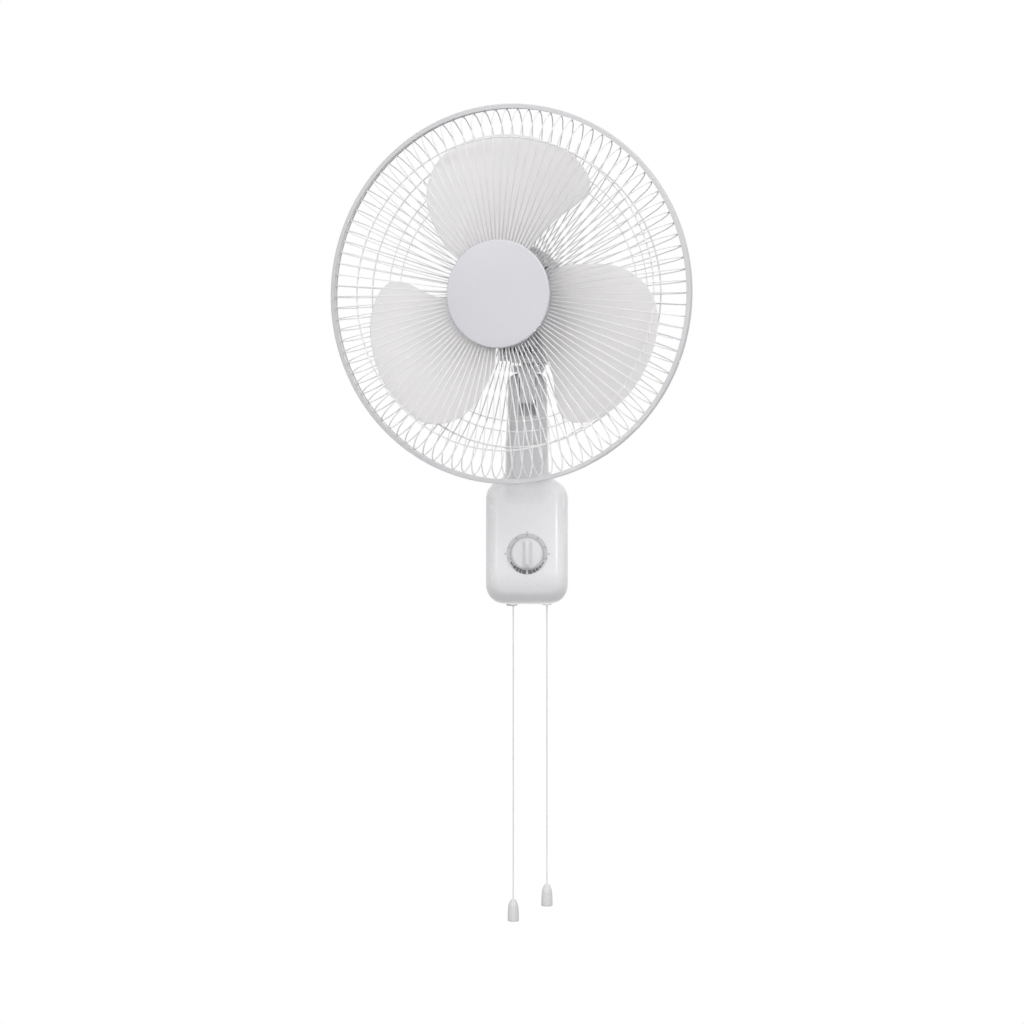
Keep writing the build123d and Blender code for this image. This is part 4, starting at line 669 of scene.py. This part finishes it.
# %% Blades on their cup
SHAFT_HOLE, CUP_BACK, CUP_ROUND = 4.06, 49.0, 3.0
cup_arc = np.linspace(0.0, pi / 2, 6)
cup = np.vstack([
    [(SHAFT_HOLE, CUP_BACK), (SHAFT_HOLE, 89.0)],
    np.stack([35.0 + CUP_ROUND * np.sin(cup_arc), 86.0 + CUP_ROUND * np.cos(cup_arc)], axis=1),
    [(38.0, 49.6), (37.4, CUP_BACK), (35.5, CUP_BACK), (35.5, 86.5), (9.0, 86.5),
     (9.0, CUP_BACK)]])
blade_grids.append(turned(cup, 128))
for k in range(3):
    blade_grids.append(plate_arm(radians(30 + 120 * k), 8.5, 36.0, 1.0, 61.0, 87.0))
points, faces = joined(blade_grids)
blade = mesh_object("three_blade_fan", points, faces, "rotor", blade_white)
creased(blade, 40.0)
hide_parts("propeller")
print("blade:", len(blade.data.polygons), "faces")

# %% [markdown]
# The spinner nut that holds the blade is a fluted cap. Grooves could be cut out of a turned
# cap one by one; it is simpler to let its radius dip eight times a turn.

# %% Spinner
NUT_STEPS, NUT_FLUTES, NUT_DIP, NUT_BACK = 128, 8, 0.05, 89.1
NUT = [(20.0, NUT_BACK), (20.0, 91.5), (18.4, 94.6), (14.0, 97.4), (8.0, 98.9),
       (SHAFT_HOLE, 99.1)]
flute = np.linspace(0.0, 2 * pi, NUT_STEPS, endpoint=False)
nut_radius, nut_ahead = smooth_profile(NUT, 6).T
fluted = nut_radius[:, None] > 9.0
dip = 1.0 - NUT_DIP * (0.5 + 0.5 * np.cos(NUT_FLUTES * flute)) ** 3 * fluted
bore = np.full((1, NUT_STEPS), SHAFT_HOLE)
reach = np.vstack([bore, nut_radius[:, None] * dip, bore])
ahead = np.concatenate([[NUT_BACK], nut_ahead, [NUT_BACK]])[:, None]
nut_points = head(reach * np.cos(flute), reach * np.sin(flute), ahead + 0.0 * reach)
points, faces = joined([(nut_points, False, True)])
spinner = mesh_object("spinner_nut", points, faces, "rotor", white_shell)
creased(spinner, 45.0)
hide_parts("spinner")
print("spinner:", len(spinner.data.polygons), "faces")

# %% [markdown]
# ## The dial
# The timer knob is a shallow round cap with a thumb ridge down its middle. The ridge could be
# a second body joined to the cap, but then their meeting line would be sharp. As one height
# over the disc, a dome plus a ridge with steep flanks, it flows out of the cap.

# %% Knob
DIAL_Z = -15.0
KNOB_BACK, KNOB_RADIUS = 71.2, 19.5
DOME, DOME_FALL, EDGE_FALL, EDGE_FROM = 5.4, 1.6, 1.8, 0.86
RIDGE, RIDGE_TOP, RIDGE_FLANK, RIDGE_SINK = 5.6, 1.2, 5.2, 8.0


def front_spot(x, z, depth):
    """World points from mm across, mm up from the dial's centre, and mm in front of the wall."""
    x, z, depth = np.broadcast_arrays(x, z, depth)
    return np.stack([x, -depth, DIAL_Z + z], axis=-1) * MM


def knob_grid(rings=48, segments=160):
    """The cap's face from its centre to its rim, then down its side and across its back.

    The dome falls with the square of the radius and rolls over near its rim. The ridge falls
    in an S over its flanks and sinks towards both ends."""
    share = np.linspace(0.0, 1.0, rings)[:, None]
    turn = np.linspace(0.0, 2 * pi, segments, endpoint=False)
    radius = KNOB_RADIUS * share
    x, z = radius * np.cos(turn), radius * np.sin(turn)
    roll = np.clip((share - EDGE_FROM) / 0.14, 0, 1) ** 2.2
    dome = DOME - DOME_FALL * share**2 - EDGE_FALL * roll
    across = np.clip((np.abs(x) - RIDGE_TOP) / RIDGE_FLANK, 0, 1)
    along = np.clip((KNOB_RADIUS - 1.0 - np.abs(z)) / RIDGE_SINK, 0, 1)
    ridge = RIDGE * (1 - across**2 * (3 - 2 * across)) * (along * (2 - along)) ** 0.8
    face = dome + ridge * (share < 0.97)
    side = np.array([[1.0, 2.0], [1.0, 0.6], [0.975, 0.0], [0.16, 0.0]])
    x = np.vstack([x, KNOB_RADIUS * side[:, :1] * np.cos(turn)])
    z = np.vstack([z, KNOB_RADIUS * side[:, :1] * np.sin(turn)])
    depth = np.vstack([face, side[:, 1:] + 0.0 * turn])
    return front_spot(x, z, KNOB_BACK + depth), False, True


points, faces = joined([knob_grid()])
knob = mesh_object("timer_cap", points, faces, "knob", knob_white)
creased(knob, 60.0)
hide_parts("timer_knob")
print("knob:", len(knob.data.polygons), "faces")

# %% [markdown]
# Round the knob is a printed ring of fine ticks. Below the knob are two rows of dark blocks that
# grow towards each other; they are partly print and partly painted shadow of the knob. A drawn
# image could hold the print, but ink as thin geometry on the ring's face stays sharp at any
# distance and needs no picture file.

# %% Dial print, and the knob's painted shadow below it
DIAL_FACE, BOX_FACE, INK = 70.6, 70.0, 0.06
# Blocks below the knob: partly print, partly painted shadow that the knob casts.
BLOCKS = ((206, 219, 21.6, 23.4), (221, 232, 20.6, 24.4), (233.5, 243, 20.3, 25.2),
          (244.5, 253, 20.3, 25.4), (254.5, 267, 20.3, 25.5), (273, 285, 20.3, 25.5),
          (286.5, 297, 20.5, 25.2), (298.5, 308, 20.9, 24.9), (310, 320, 21.6, 24.2),
          (322, 334, 22.0, 23.4))       # start and end in degrees, inner and outer radius


def arc_bar(start, end, inner, outer, depth, steps=2, taper=0.0):
    """A flat bar along an arc, narrowing towards its start by taper and closed at both ends."""
    turn = np.radians(np.linspace(start, end, steps))[:, None]
    grow = 1.0 - taper * np.linspace(1.0, 0.0, steps)[:, None]
    outer_edge = inner + (outer - inner) * grow
    inner_edge = inner + 0.0 * turn
    radius = np.hstack([inner_edge, outer_edge, outer_edge, inner_edge])
    level = np.array([0.0, 0.0, INK, INK])
    spots = front_spot(radius * np.cos(turn), radius * np.sin(turn), depth + level)
    first, last = (np.broadcast_to(row.mean(axis=0), row.shape)[None]
                   for row in (spots[0], spots[-1]))
    return np.concatenate([first, spots, last]), False, True


marks = [arc_bar(*block, DIAL_FACE, steps=10, taper=0.15) for block in BLOCKS]
for tick in np.arange(-24.0, 205.0, 5.0):
    reach = 22.1 if abs(tick % 30.0) < 1e-6 else 21.4
    marks.append(arc_bar(tick - 0.6, tick + 0.6, 20.2, reach, DIAL_FACE))
for tick in np.arange(-21.0, 202.0, 6.0):
    marks.append(arc_bar(tick - 0.5, tick + 0.5, 24.7, 25.5, DIAL_FACE))
for tick in (0.0, 90.0, 180.0):
    marks.append(arc_bar(tick - 1.2, tick + 1.2, 26.3, 27.8, BOX_FACE))
points, faces = joined(marks)
mesh_object("dial_marks", points, faces, "base", ink_and_painted_shadow, smooth=False)
print("marks on the dial:", len(marks))

# %% [markdown]
# A few plain numbers of minutes stand upright between the ticks. They start as text objects,
# because Blender draws the digits, and are made into meshes, because a mesh can be moved to
# its place while its object stays unturned at the origin.

# %% Numbers of minutes
MINUTES = ("0", "15", "30", "45", "60", "90", "120")
NUMBER_RADIUS, NUMBER_HEIGHT, NUMBER_HALF = 23.35, 2.9, 0.03
FIRST_NUMBER, NUMBER_STEP = 195.0, 35.0


def dial_number(text, turn):
    """Mesh of one upright number on the dial's face, its middle at the angle turn."""
    curve = bpy.data.curves.new("number", "FONT")
    curve.body = text
    curve.size = NUMBER_HEIGHT * MM
    curve.extrude = NUMBER_HALF * MM
    curve.align_x, curve.align_y = "CENTER", "CENTER"
    holder = bpy.data.objects.new("number", curve)
    bpy.context.scene.collection.objects.link(holder)
    bpy.context.view_layer.update()
    ready = bpy.context.evaluated_depsgraph_get()
    mesh = bpy.data.meshes.new_from_object(holder.evaluated_get(ready))
    flat = np.empty(len(mesh.vertices) * 3)
    mesh.vertices.foreach_get("co", flat)
    flat = flat.reshape(-1, 3)
    x = flat[:, 0] + NUMBER_RADIUS * cos(radians(turn)) * MM
    z = flat[:, 1] + (DIAL_Z + NUMBER_RADIUS * sin(radians(turn))) * MM
    y = -(DIAL_FACE + NUMBER_HALF) * MM - flat[:, 2]
    mesh.vertices.foreach_set("co", np.stack([x, y, z], axis=1).ravel())
    bpy.data.objects.remove(holder)
    return mesh


numbers = bmesh.new()
for step, minutes in enumerate(MINUTES):
    part = dial_number(minutes, FIRST_NUMBER - NUMBER_STEP * step)
    numbers.from_mesh(part)
    bpy.data.meshes.remove(part)
bmesh.ops.recalc_face_normals(numbers, faces=numbers.faces)
number_mesh = bpy.data.meshes.new("dial_numbers")
numbers.to_mesh(number_mesh)
numbers.free()
number_mesh.materials.append(ink_and_painted_shadow)
dial_numbers = bpy.data.objects.new("dial_numbers", number_mesh)
bpy.context.scene.collection.objects.link(dial_numbers)
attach(dial_numbers, "base")
print("numbers on the dial:", ", ".join(MINUTES))

# %% [markdown]
# ## Shells with softened edges
# The moulded shells are right as solids, but a solid's edges are perfectly sharp and its
# curves are made of flats. They could be modelled again, but a copy keeps their sizes. Each
# copy is merged, shaded smooth between its real corners, and given a small bevel that catches
# the light along seams and openings. The base's cover is cut into level strips as well, so
# that its lower front can lean back in a soft chin.

# %% Softened copies
SHELLS = (("base_front_cover", 0.5), ("base_back_shell", 0.5), ("neck_front_shell", 0.6),
          ("neck_rear_shell", 0.6), ("motor_rear_cover", 0.5), ("motor_front_cover", 0.4),
          ("guard_nut", 0.5))           # each with the width of its bevel
CHIN_TOP, CHIN_END, CHIN_CUTS = -38.0, -76.5, 16
CHIN_ARC = 52.0                         # radius of the arc that the front leans back along
LEAN_FROM, LEAN_FADE = 48.0, 22.0       # the lean starts 48 mm off the wall, full at 70 mm
SHELL_MERGE, FLAT_ANGLE, BEVEL_ANGLE = 4e-6, 0.4, 32.0


def rounded_chin(mesh):
    """Lets the lower part of the base's front lean back along an arc.

    A point that lies fall under the chin's top moves back by CHIN_ARC less the root of
    CHIN_ARC^2 - fall^2. The move fades in an S from the front face to nothing on the sides."""
    spots = np.empty(len(mesh.vertices) * 3)
    mesh.vertices.foreach_get("co", spots)
    spots = spots.reshape(-1, 3) / MM
    fall = np.maximum(CHIN_TOP - spots[:, 2], 0.0)
    reach = np.clip((-spots[:, 1] - LEAN_FROM) / LEAN_FADE, 0.0, 1.0)
    depth = CHIN_ARC - np.sqrt(CHIN_ARC**2 - fall**2)
    spots[:, 1] += depth * reach**2 * (3.0 - 2.0 * reach)
    mesh.vertices.foreach_set("co", (spots * MM).ravel())


def softened(node, material, edge, chin=False):
    """A merged, smooth-shaded copy of a CAD node with its sharp edges rounded by edge mm."""
    mesh = nodes[node].data.copy()
    work = bmesh.new()
    work.from_mesh(mesh)
    bmesh.ops.remove_doubles(work, verts=work.verts, dist=SHELL_MERGE)
    bmesh.ops.dissolve_limit(work, angle_limit=radians(FLAT_ANGLE), verts=work.verts,
                             edges=work.edges)
    if chin:
        for level in np.linspace(CHIN_TOP, CHIN_END, CHIN_CUTS):
            bmesh.ops.bisect_plane(work, geom=work.verts[:] + work.edges[:] + work.faces[:],
                                   plane_co=(0.0, 0.0, level * MM), plane_no=(0.0, 0.0, 1.0))
    work.to_mesh(mesh)
    work.free()
    if chin:
        rounded_chin(mesh)
    mesh.shade_smooth()
    mesh.materials.clear()
    mesh.materials.append(material)
    piece = bpy.data.objects.new(f"{node}_shell", mesh)
    bpy.context.scene.collection.objects.link(piece)
    bevel = piece.modifiers.new("edge", "BEVEL")
    bevel.width = edge * MM
    bevel.segments = 2
    bevel.limit_method = "ANGLE"
    bevel.angle_limit = radians(BEVEL_ANGLE)
    bevel.harden_normals = True
    even = piece.modifiers.new("even", "WEIGHTED_NORMAL")
    even.keep_sharp = True
    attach(piece, nodes[node]["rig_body"])
    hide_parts(node)
    return piece


for node, edge in SHELLS:
    shell = softened(node, white_shell, edge, chin=node == "base_front_cover")
    print(node, "faces:", len(shell.data.polygons))

# %% [markdown]
# ## The collar
# The neck grows out of the base without a corner: a moulded collar rounds the way from one to
# the other. A bevel can't do this where two shells merely meet. Instead both are written as
# distances, negative inside, and their smooth union adds a fillet where the two are alike.

# %% Distances to the base and the neck
NECK_FOOT = np.array([0.0, -40.0, 62.0])
NECK_LENGTH = np.linalg.norm(BOLT - NECK_FOOT)
NECK_DIR = (BOLT - NECK_FOOT) / NECK_LENGTH
NECK_FACE = np.array([0.0, -NECK_DIR[2], NECK_DIR[1]])
NECK_HALF, NECK_SHRINK = np.array([28.0, 23.0]), np.array([5.0, 4.0])
NECK_ROUND, NECK_PAST = 13.0, 19.5      # its corners, and how far it runs past the bolt
BASE_HALF, BASE_ROUND = np.array([51.0, 78.0]), 25.0
BASE_FRONT, FRONT_ROUND = 70.0, 16.0
BLEND = 12.0                            # the fillet ends where the other is this far away


def soft_corner(over, corner):
    """Distance to the space where every row of over is negative, with its corners rounded."""
    over = over + corner
    outside = np.linalg.norm(np.maximum(over, 0.0), axis=-1)
    return outside + np.minimum(over.max(axis=-1), 0.0) - corner


def base_distance(spot):
    """The base: a rounded rectangle whose edge turns into the flat front."""
    side = soft_corner(np.abs(spot[..., [0, 2]]) - BASE_HALF, BASE_ROUND)
    return soft_corner(np.stack([side, -spot[..., 1] - BASE_FRONT], axis=-1), FRONT_ROUND)


def neck_distance(spot):
    """The neck: a rounded rectangle that shrinks a little along the neck's line."""
    share = ((spot - NECK_FOOT) @ NECK_DIR / (NECK_LENGTH + NECK_PAST))[..., None]
    across = np.stack([spot[..., 0], (spot - NECK_FOOT) @ NECK_FACE], axis=-1)
    return soft_corner(np.abs(across) - NECK_HALF + NECK_SHRINK * share, NECK_ROUND)


def blend_distance(spot, reach=BLEND):
    """Smooth union of both: it leaves a surface where the other is reach away."""
    neck, base = neck_distance(spot), base_distance(spot)
    mix = np.clip(0.5 + 0.5 * (base - neck) / reach, 0.0, 1.0)
    return base + (neck - base) * mix - reach * mix * (1.0 - mix)


def drawn_to(distance, spot, level, rounds=12, probe=0.05):
    """Moves points along the steepest slope until their distance equals level."""
    for _ in range(rounds):
        slope = np.stack([distance(spot + step) - distance(spot - step)
                          for step in probe * np.eye(3)], axis=-1) / (2 * probe)
        gap = distance(spot) - level
        spot = spot - (gap / np.maximum((slope**2).sum(axis=-1), 0.2))[..., None] * slope
    return spot, slope / np.linalg.norm(slope, axis=-1, keepdims=True)


print("neck from foot to bolt, mm:", NECK_LENGTH.round(1))

# %% [markdown]
# A grid of points round the neck is drawn onto the union. First the line is found where neck
# and base would meet in a corner. From each of its points the grid reaches down over the base
# and up the neck, as far as the fillet goes there. The skin lies a hair over the shells, and
# both of its edges sink a little into them, so that no seam shows.

# %% Collar surface
COLUMNS, ROWS, SEARCHES = 160, 36, 30
SAMPLE, LEAST_GAP = 10.0, 3.4           # where the fillet's reach is measured, and its limit
LIFT, SINK, COLLAR_WALL = 0.06, 0.14, 1.3
around = np.linspace(0.0, 2.0 * pi, COLUMNS, endpoint=False)
out = np.cos(around)[:, None] * [1.0, 0.0, 0.0] + np.sin(around)[:, None] * NECK_FACE
ring, _ = drawn_to(neck_distance, NECK_FOOT + 26.0 * out + 10.0 * NECK_DIR, 0.0)
low, high = np.full(COLUMNS, -25.0), np.full(COLUMNS, 70.0)
for _ in range(SEARCHES):
    middle = (low + high) / 2
    inside = base_distance(ring + middle[:, None] * NECK_DIR) < 0.0
    low, high = np.where(inside, middle, low), np.where(inside, high, middle)
corner_line = ring + high[:, None] * NECK_DIR
down_base, _ = drawn_to(base_distance, corner_line + SAMPLE * out, 0.0)
onto_base = SAMPLE * BLEND / np.maximum(neck_distance(down_base), LEAST_GAP)
up_neck, _ = drawn_to(neck_distance, corner_line + SAMPLE * NECK_DIR, 0.0)
onto_neck = SAMPLE * BLEND / np.maximum(base_distance(up_neck), LEAST_GAP)
share = np.linspace(0.0, 1.0, ROWS)[:, None, None]
start = (corner_line + onto_base[:, None] * share * out
         + onto_neck[:, None] * (1.0 - share) * NECK_DIR)
lift = LIFT - SINK * (2.0 * share[..., 0] - 1.0) ** 6
collar_skin, outward = drawn_to(blend_distance, start, lift)
collar_rows = np.vstack([collar_skin, (collar_skin - COLLAR_WALL * outward)[::-1]]) * MM
points, faces = joined([(collar_rows, True, True)])
collar = mesh_object("neck_collar", points, faces, "base", white_shell)
creased(collar, 60.0)
print("collar, mm:", (points.min(axis=0) / MM).round(1), (points.max(axis=0) / MM).round(1))

# %% [markdown]
# ## Skirts at the swing post
# The casting that carries the swing post is thin, and daylight would show between the neck and
# the motor. A moulded ring sits round the casting, and half a ring under the motor's chin
# leaves only the slot in which the link moves. Screw modifiers could turn their sections; the
# same sweep in numpy closes the ends of the half ring as well.

# %% Skirts
SKIRT = [(15.1, 21.2), (18.6, 20.6), (19.4, 21.2), (19.6, 22.2), (19.6, 27.2), (19.2, 28.0),
         (18.4, 28.3), (15.1, 28.3)]
CHIN_SKIRT = [(15.4, 32.0), (20.6, 31.9), (21.4, 32.4), (22.0, 33.4), (22.6, 34.6),
              (15.4, 34.6)]


def post_ring_piece(section, start, end, steps, closed):
    """A section of (radius, height over the bolt) swept about the swing post."""
    turn = np.radians(np.linspace(start, end, steps, endpoint=not closed))
    radius, height = np.asarray(section, float).T[..., None]
    side = radius * np.cos(turn)
    back = radius * np.sin(turn)
    spots = (BOLT - POST_BEHIND * BACK + side[..., None] * [1.0, 0.0, 0.0]
             + back[..., None] * BACK + (height + 0.0 * side)[..., None] * UP) * MM
    spots = spots.swapaxes(0, 1)
    if not closed:
        first, last = (np.broadcast_to(row.mean(axis=0), row.shape)[None]
                       for row in (spots[0], spots[-1]))
        spots = np.vstack([first, spots, last])
    return joined([(spots, closed, True)])


points, faces = post_ring_piece(SKIRT, 0.0, 360.0, 96, True)
skirt = mesh_object("post_skirt", points, faces, "tilt", white_shell)
creased(skirt, 50.0)
points, faces = post_ring_piece(CHIN_SKIRT, 190.0, 350.0, 64, False)
chin_skirt = mesh_object("chin_skirt", points, faces, "head", white_shell)
creased(chin_skirt, 50.0)
print("skirts:", len(skirt.data.polygons), "and", len(chin_skirt.data.polygons), "faces")

# %% [markdown]
# ## Everything else keeps its solid
# Screws, castings and the motor's insides already have their shapes, and new surfaces would
# add nothing that shows, so they only get their finishes. A node's finish is set on its own
# material slot.

# %% Finishes of the carried-over solids
FINISHES = {
    zinc: ["wall_bracket", "bracket_lock_screw", "base_screws", "neck_screws", "tilt_bolt",
           "tilt_nut", "post_ring", "stator_bolts", "hoop_screw", "hoop_nut", "badge_screws",
           "swing_crank", "swing_link", "motor_shaft", "drive_pin", "timer_shaft",
           "swing_motor"],
    cast: ["swing_saddle", "front_bearing_bracket", "rear_bearing_bracket"],
    laminated: ["stator_core", "rotor_core"],
    copper: ["stator_windings"],
    bronze: ["motor_bearings"],
    nylon: ["swing_bush", "thrust_washer", "speed_cord_knot", "swing_cord_knot",
            "speed_plunger", "swing_plunger"],
    white_shell: ["cord_guides", "mains_gland", "tilt_bracket"],
    black_plastic: ["timer_unit", "speed_switch", "swing_switch", "terminal_block",
                    "run_capacitor"],
    rubber: ["tilt_friction_washers"],
    hoop_white: ["badge_clamp"],
    print_ground: ["dial_plate"],
}
for material, names in FINISHES.items():
    for name in names:
        nodes[name].data.materials.clear()
        nodes[name].data.materials.append(material)
print("solids with a finish:", sum(map(len, FINISHES.values())))

# %% [markdown]
# ## Floor
# The pale floor lies far below, as under a fan on a wall. A wall behind the fan would catch its
# shadow, which the photograph doesn't show, so there is none.

# %% Floor
FLOOR, FLOOR_SIDE, FLOOR_NEAR, FLOOR_FAR = -3.4, 3.0, -3.2, 0.4
floor_mesh = bpy.data.meshes.new("floor")
floor_mesh.from_pydata([(-FLOOR_SIDE, FLOOR_NEAR, FLOOR), (FLOOR_SIDE, FLOOR_NEAR, FLOOR),
                        (FLOOR_SIDE, FLOOR_FAR, FLOOR), (-FLOOR_SIDE, FLOOR_FAR, FLOOR)], [],
                       [(0, 1, 2, 3)])
floor_mesh.materials.append(finish("pale_floor", (0.82, 0.82, 0.82), 0.9, grain=40.0, bump=0.0))
floor = bpy.data.objects.new("floor", floor_mesh)
bpy.context.scene.collection.objects.link(floor)
print("height of the floor, m:", FLOOR)

# %% [markdown]
# ## Lamps
# Two large soft lamps stand high on both sides. Two small ones at the height of the base draw
# the bright lines down its rounded edges, and a weak one from low on the right, with a narrow
# beam, lifts the front of the neck out of the guard's shade. One even light from all sides
# would be simpler, but it would leave white shapes on white without any edges.

# %% Lamps
FAN, NECK = (0.0, -0.1, 0.0), (0.0, -0.12, 0.155)       # what the lamps face


def soft_lamp(name, place, target, size, watts, tall=None, spread=180.0):
    """An area lamp at place that faces target, square unless it is tall; spread in degrees."""
    lamp = bpy.data.lights.new(name, "AREA")
    lamp.shape = "RECTANGLE"
    lamp.size = size
    lamp.size_y = tall or size
    lamp.energy = watts
    lamp.spread = radians(spread)
    holder = bpy.data.objects.new(name, lamp)
    holder.location = place
    holder.rotation_euler = (Vector(target) - Vector(place)).to_track_quat("-Z", "Y").to_euler()
    bpy.context.scene.collection.objects.link(holder)


soft_lamp("key", (2.2, -4.2, 2.7), FAN, 2.4, 84.0)
soft_lamp("fill", (-3.2, -3.8, 1.9), FAN, 2.2, 46.0)
soft_lamp("left_strip", (-0.8, -2.4, -0.02), FAN, 0.16, 2.6, tall=0.36)
soft_lamp("right_strip", (0.5, -2.4, 0.02), FAN, 0.3, 5.0, tall=0.26)
soft_lamp("neck_light", (0.9, -2.1, -1.3), NECK, 0.3, 0.045, spread=6.0)
print("lamps:", len(bpy.data.lights))

# %% [markdown]
# ## World
# The room is bright above and dark below, so that undersides stay in shade: its strength
# climbs with the height that a ray looks to. The camera, and whatever gloss or glass mirrors,
# see plain white instead. Turning up the light would whiten the background too, but it would
# burn out the fan.

# %% World
DARK_BELOW, BRIGHT_ABOVE, BRIGHTEST = -0.36, 0.35, 0.92
WHITE = (1.0, 1.0, 1.0, 1.0)
world = bpy.data.worlds.new("studio")
bpy.context.scene.world = world
world.use_nodes = True
tree = world.node_tree
seen = tree.nodes.new("ShaderNodeLightPath")
either = tree.nodes.new("ShaderNodeMath")
either.operation = "MAXIMUM"
every = tree.nodes.new("ShaderNodeMath")
every.operation = "MAXIMUM"
tree.links.new(seen.outputs["Is Camera Ray"], either.inputs[0])
tree.links.new(seen.outputs["Is Glossy Ray"], either.inputs[1])
tree.links.new(either.outputs["Value"], every.inputs[0])
tree.links.new(seen.outputs["Is Transmission Ray"], every.inputs[1])
room = tree.nodes["Background"]
room.inputs["Color"].default_value = WHITE
direction = tree.nodes.new("ShaderNodeTexCoord")
parts = tree.nodes.new("ShaderNodeSeparateXYZ")
climb = tree.nodes.new("ShaderNodeMapRange")
climb.inputs["From Min"].default_value = DARK_BELOW
climb.inputs["From Max"].default_value = BRIGHT_ABOVE
climb.inputs["To Min"].default_value = 0.0
climb.inputs["To Max"].default_value = BRIGHTEST
tree.links.new(direction.outputs["Generated"], parts.inputs["Vector"])
tree.links.new(parts.outputs["Z"], climb.inputs["Value"])
tree.links.new(climb.outputs["Result"], room.inputs["Strength"])
white = tree.nodes.new("ShaderNodeBackground")
white.inputs["Color"].default_value = WHITE
white.inputs["Strength"].default_value = 1.0
choice = tree.nodes.new("ShaderNodeMixShader")
tree.links.new(every.outputs["Value"], choice.inputs["Fac"])
tree.links.new(room.outputs["Background"], choice.inputs[1])
tree.links.new(white.outputs["Background"], choice.inputs[2])
tree.links.new(choice.outputs["Shader"], tree.nodes["World Output"].inputs["Surface"])
bpy.context.scene.view_settings.view_transform = "Standard"
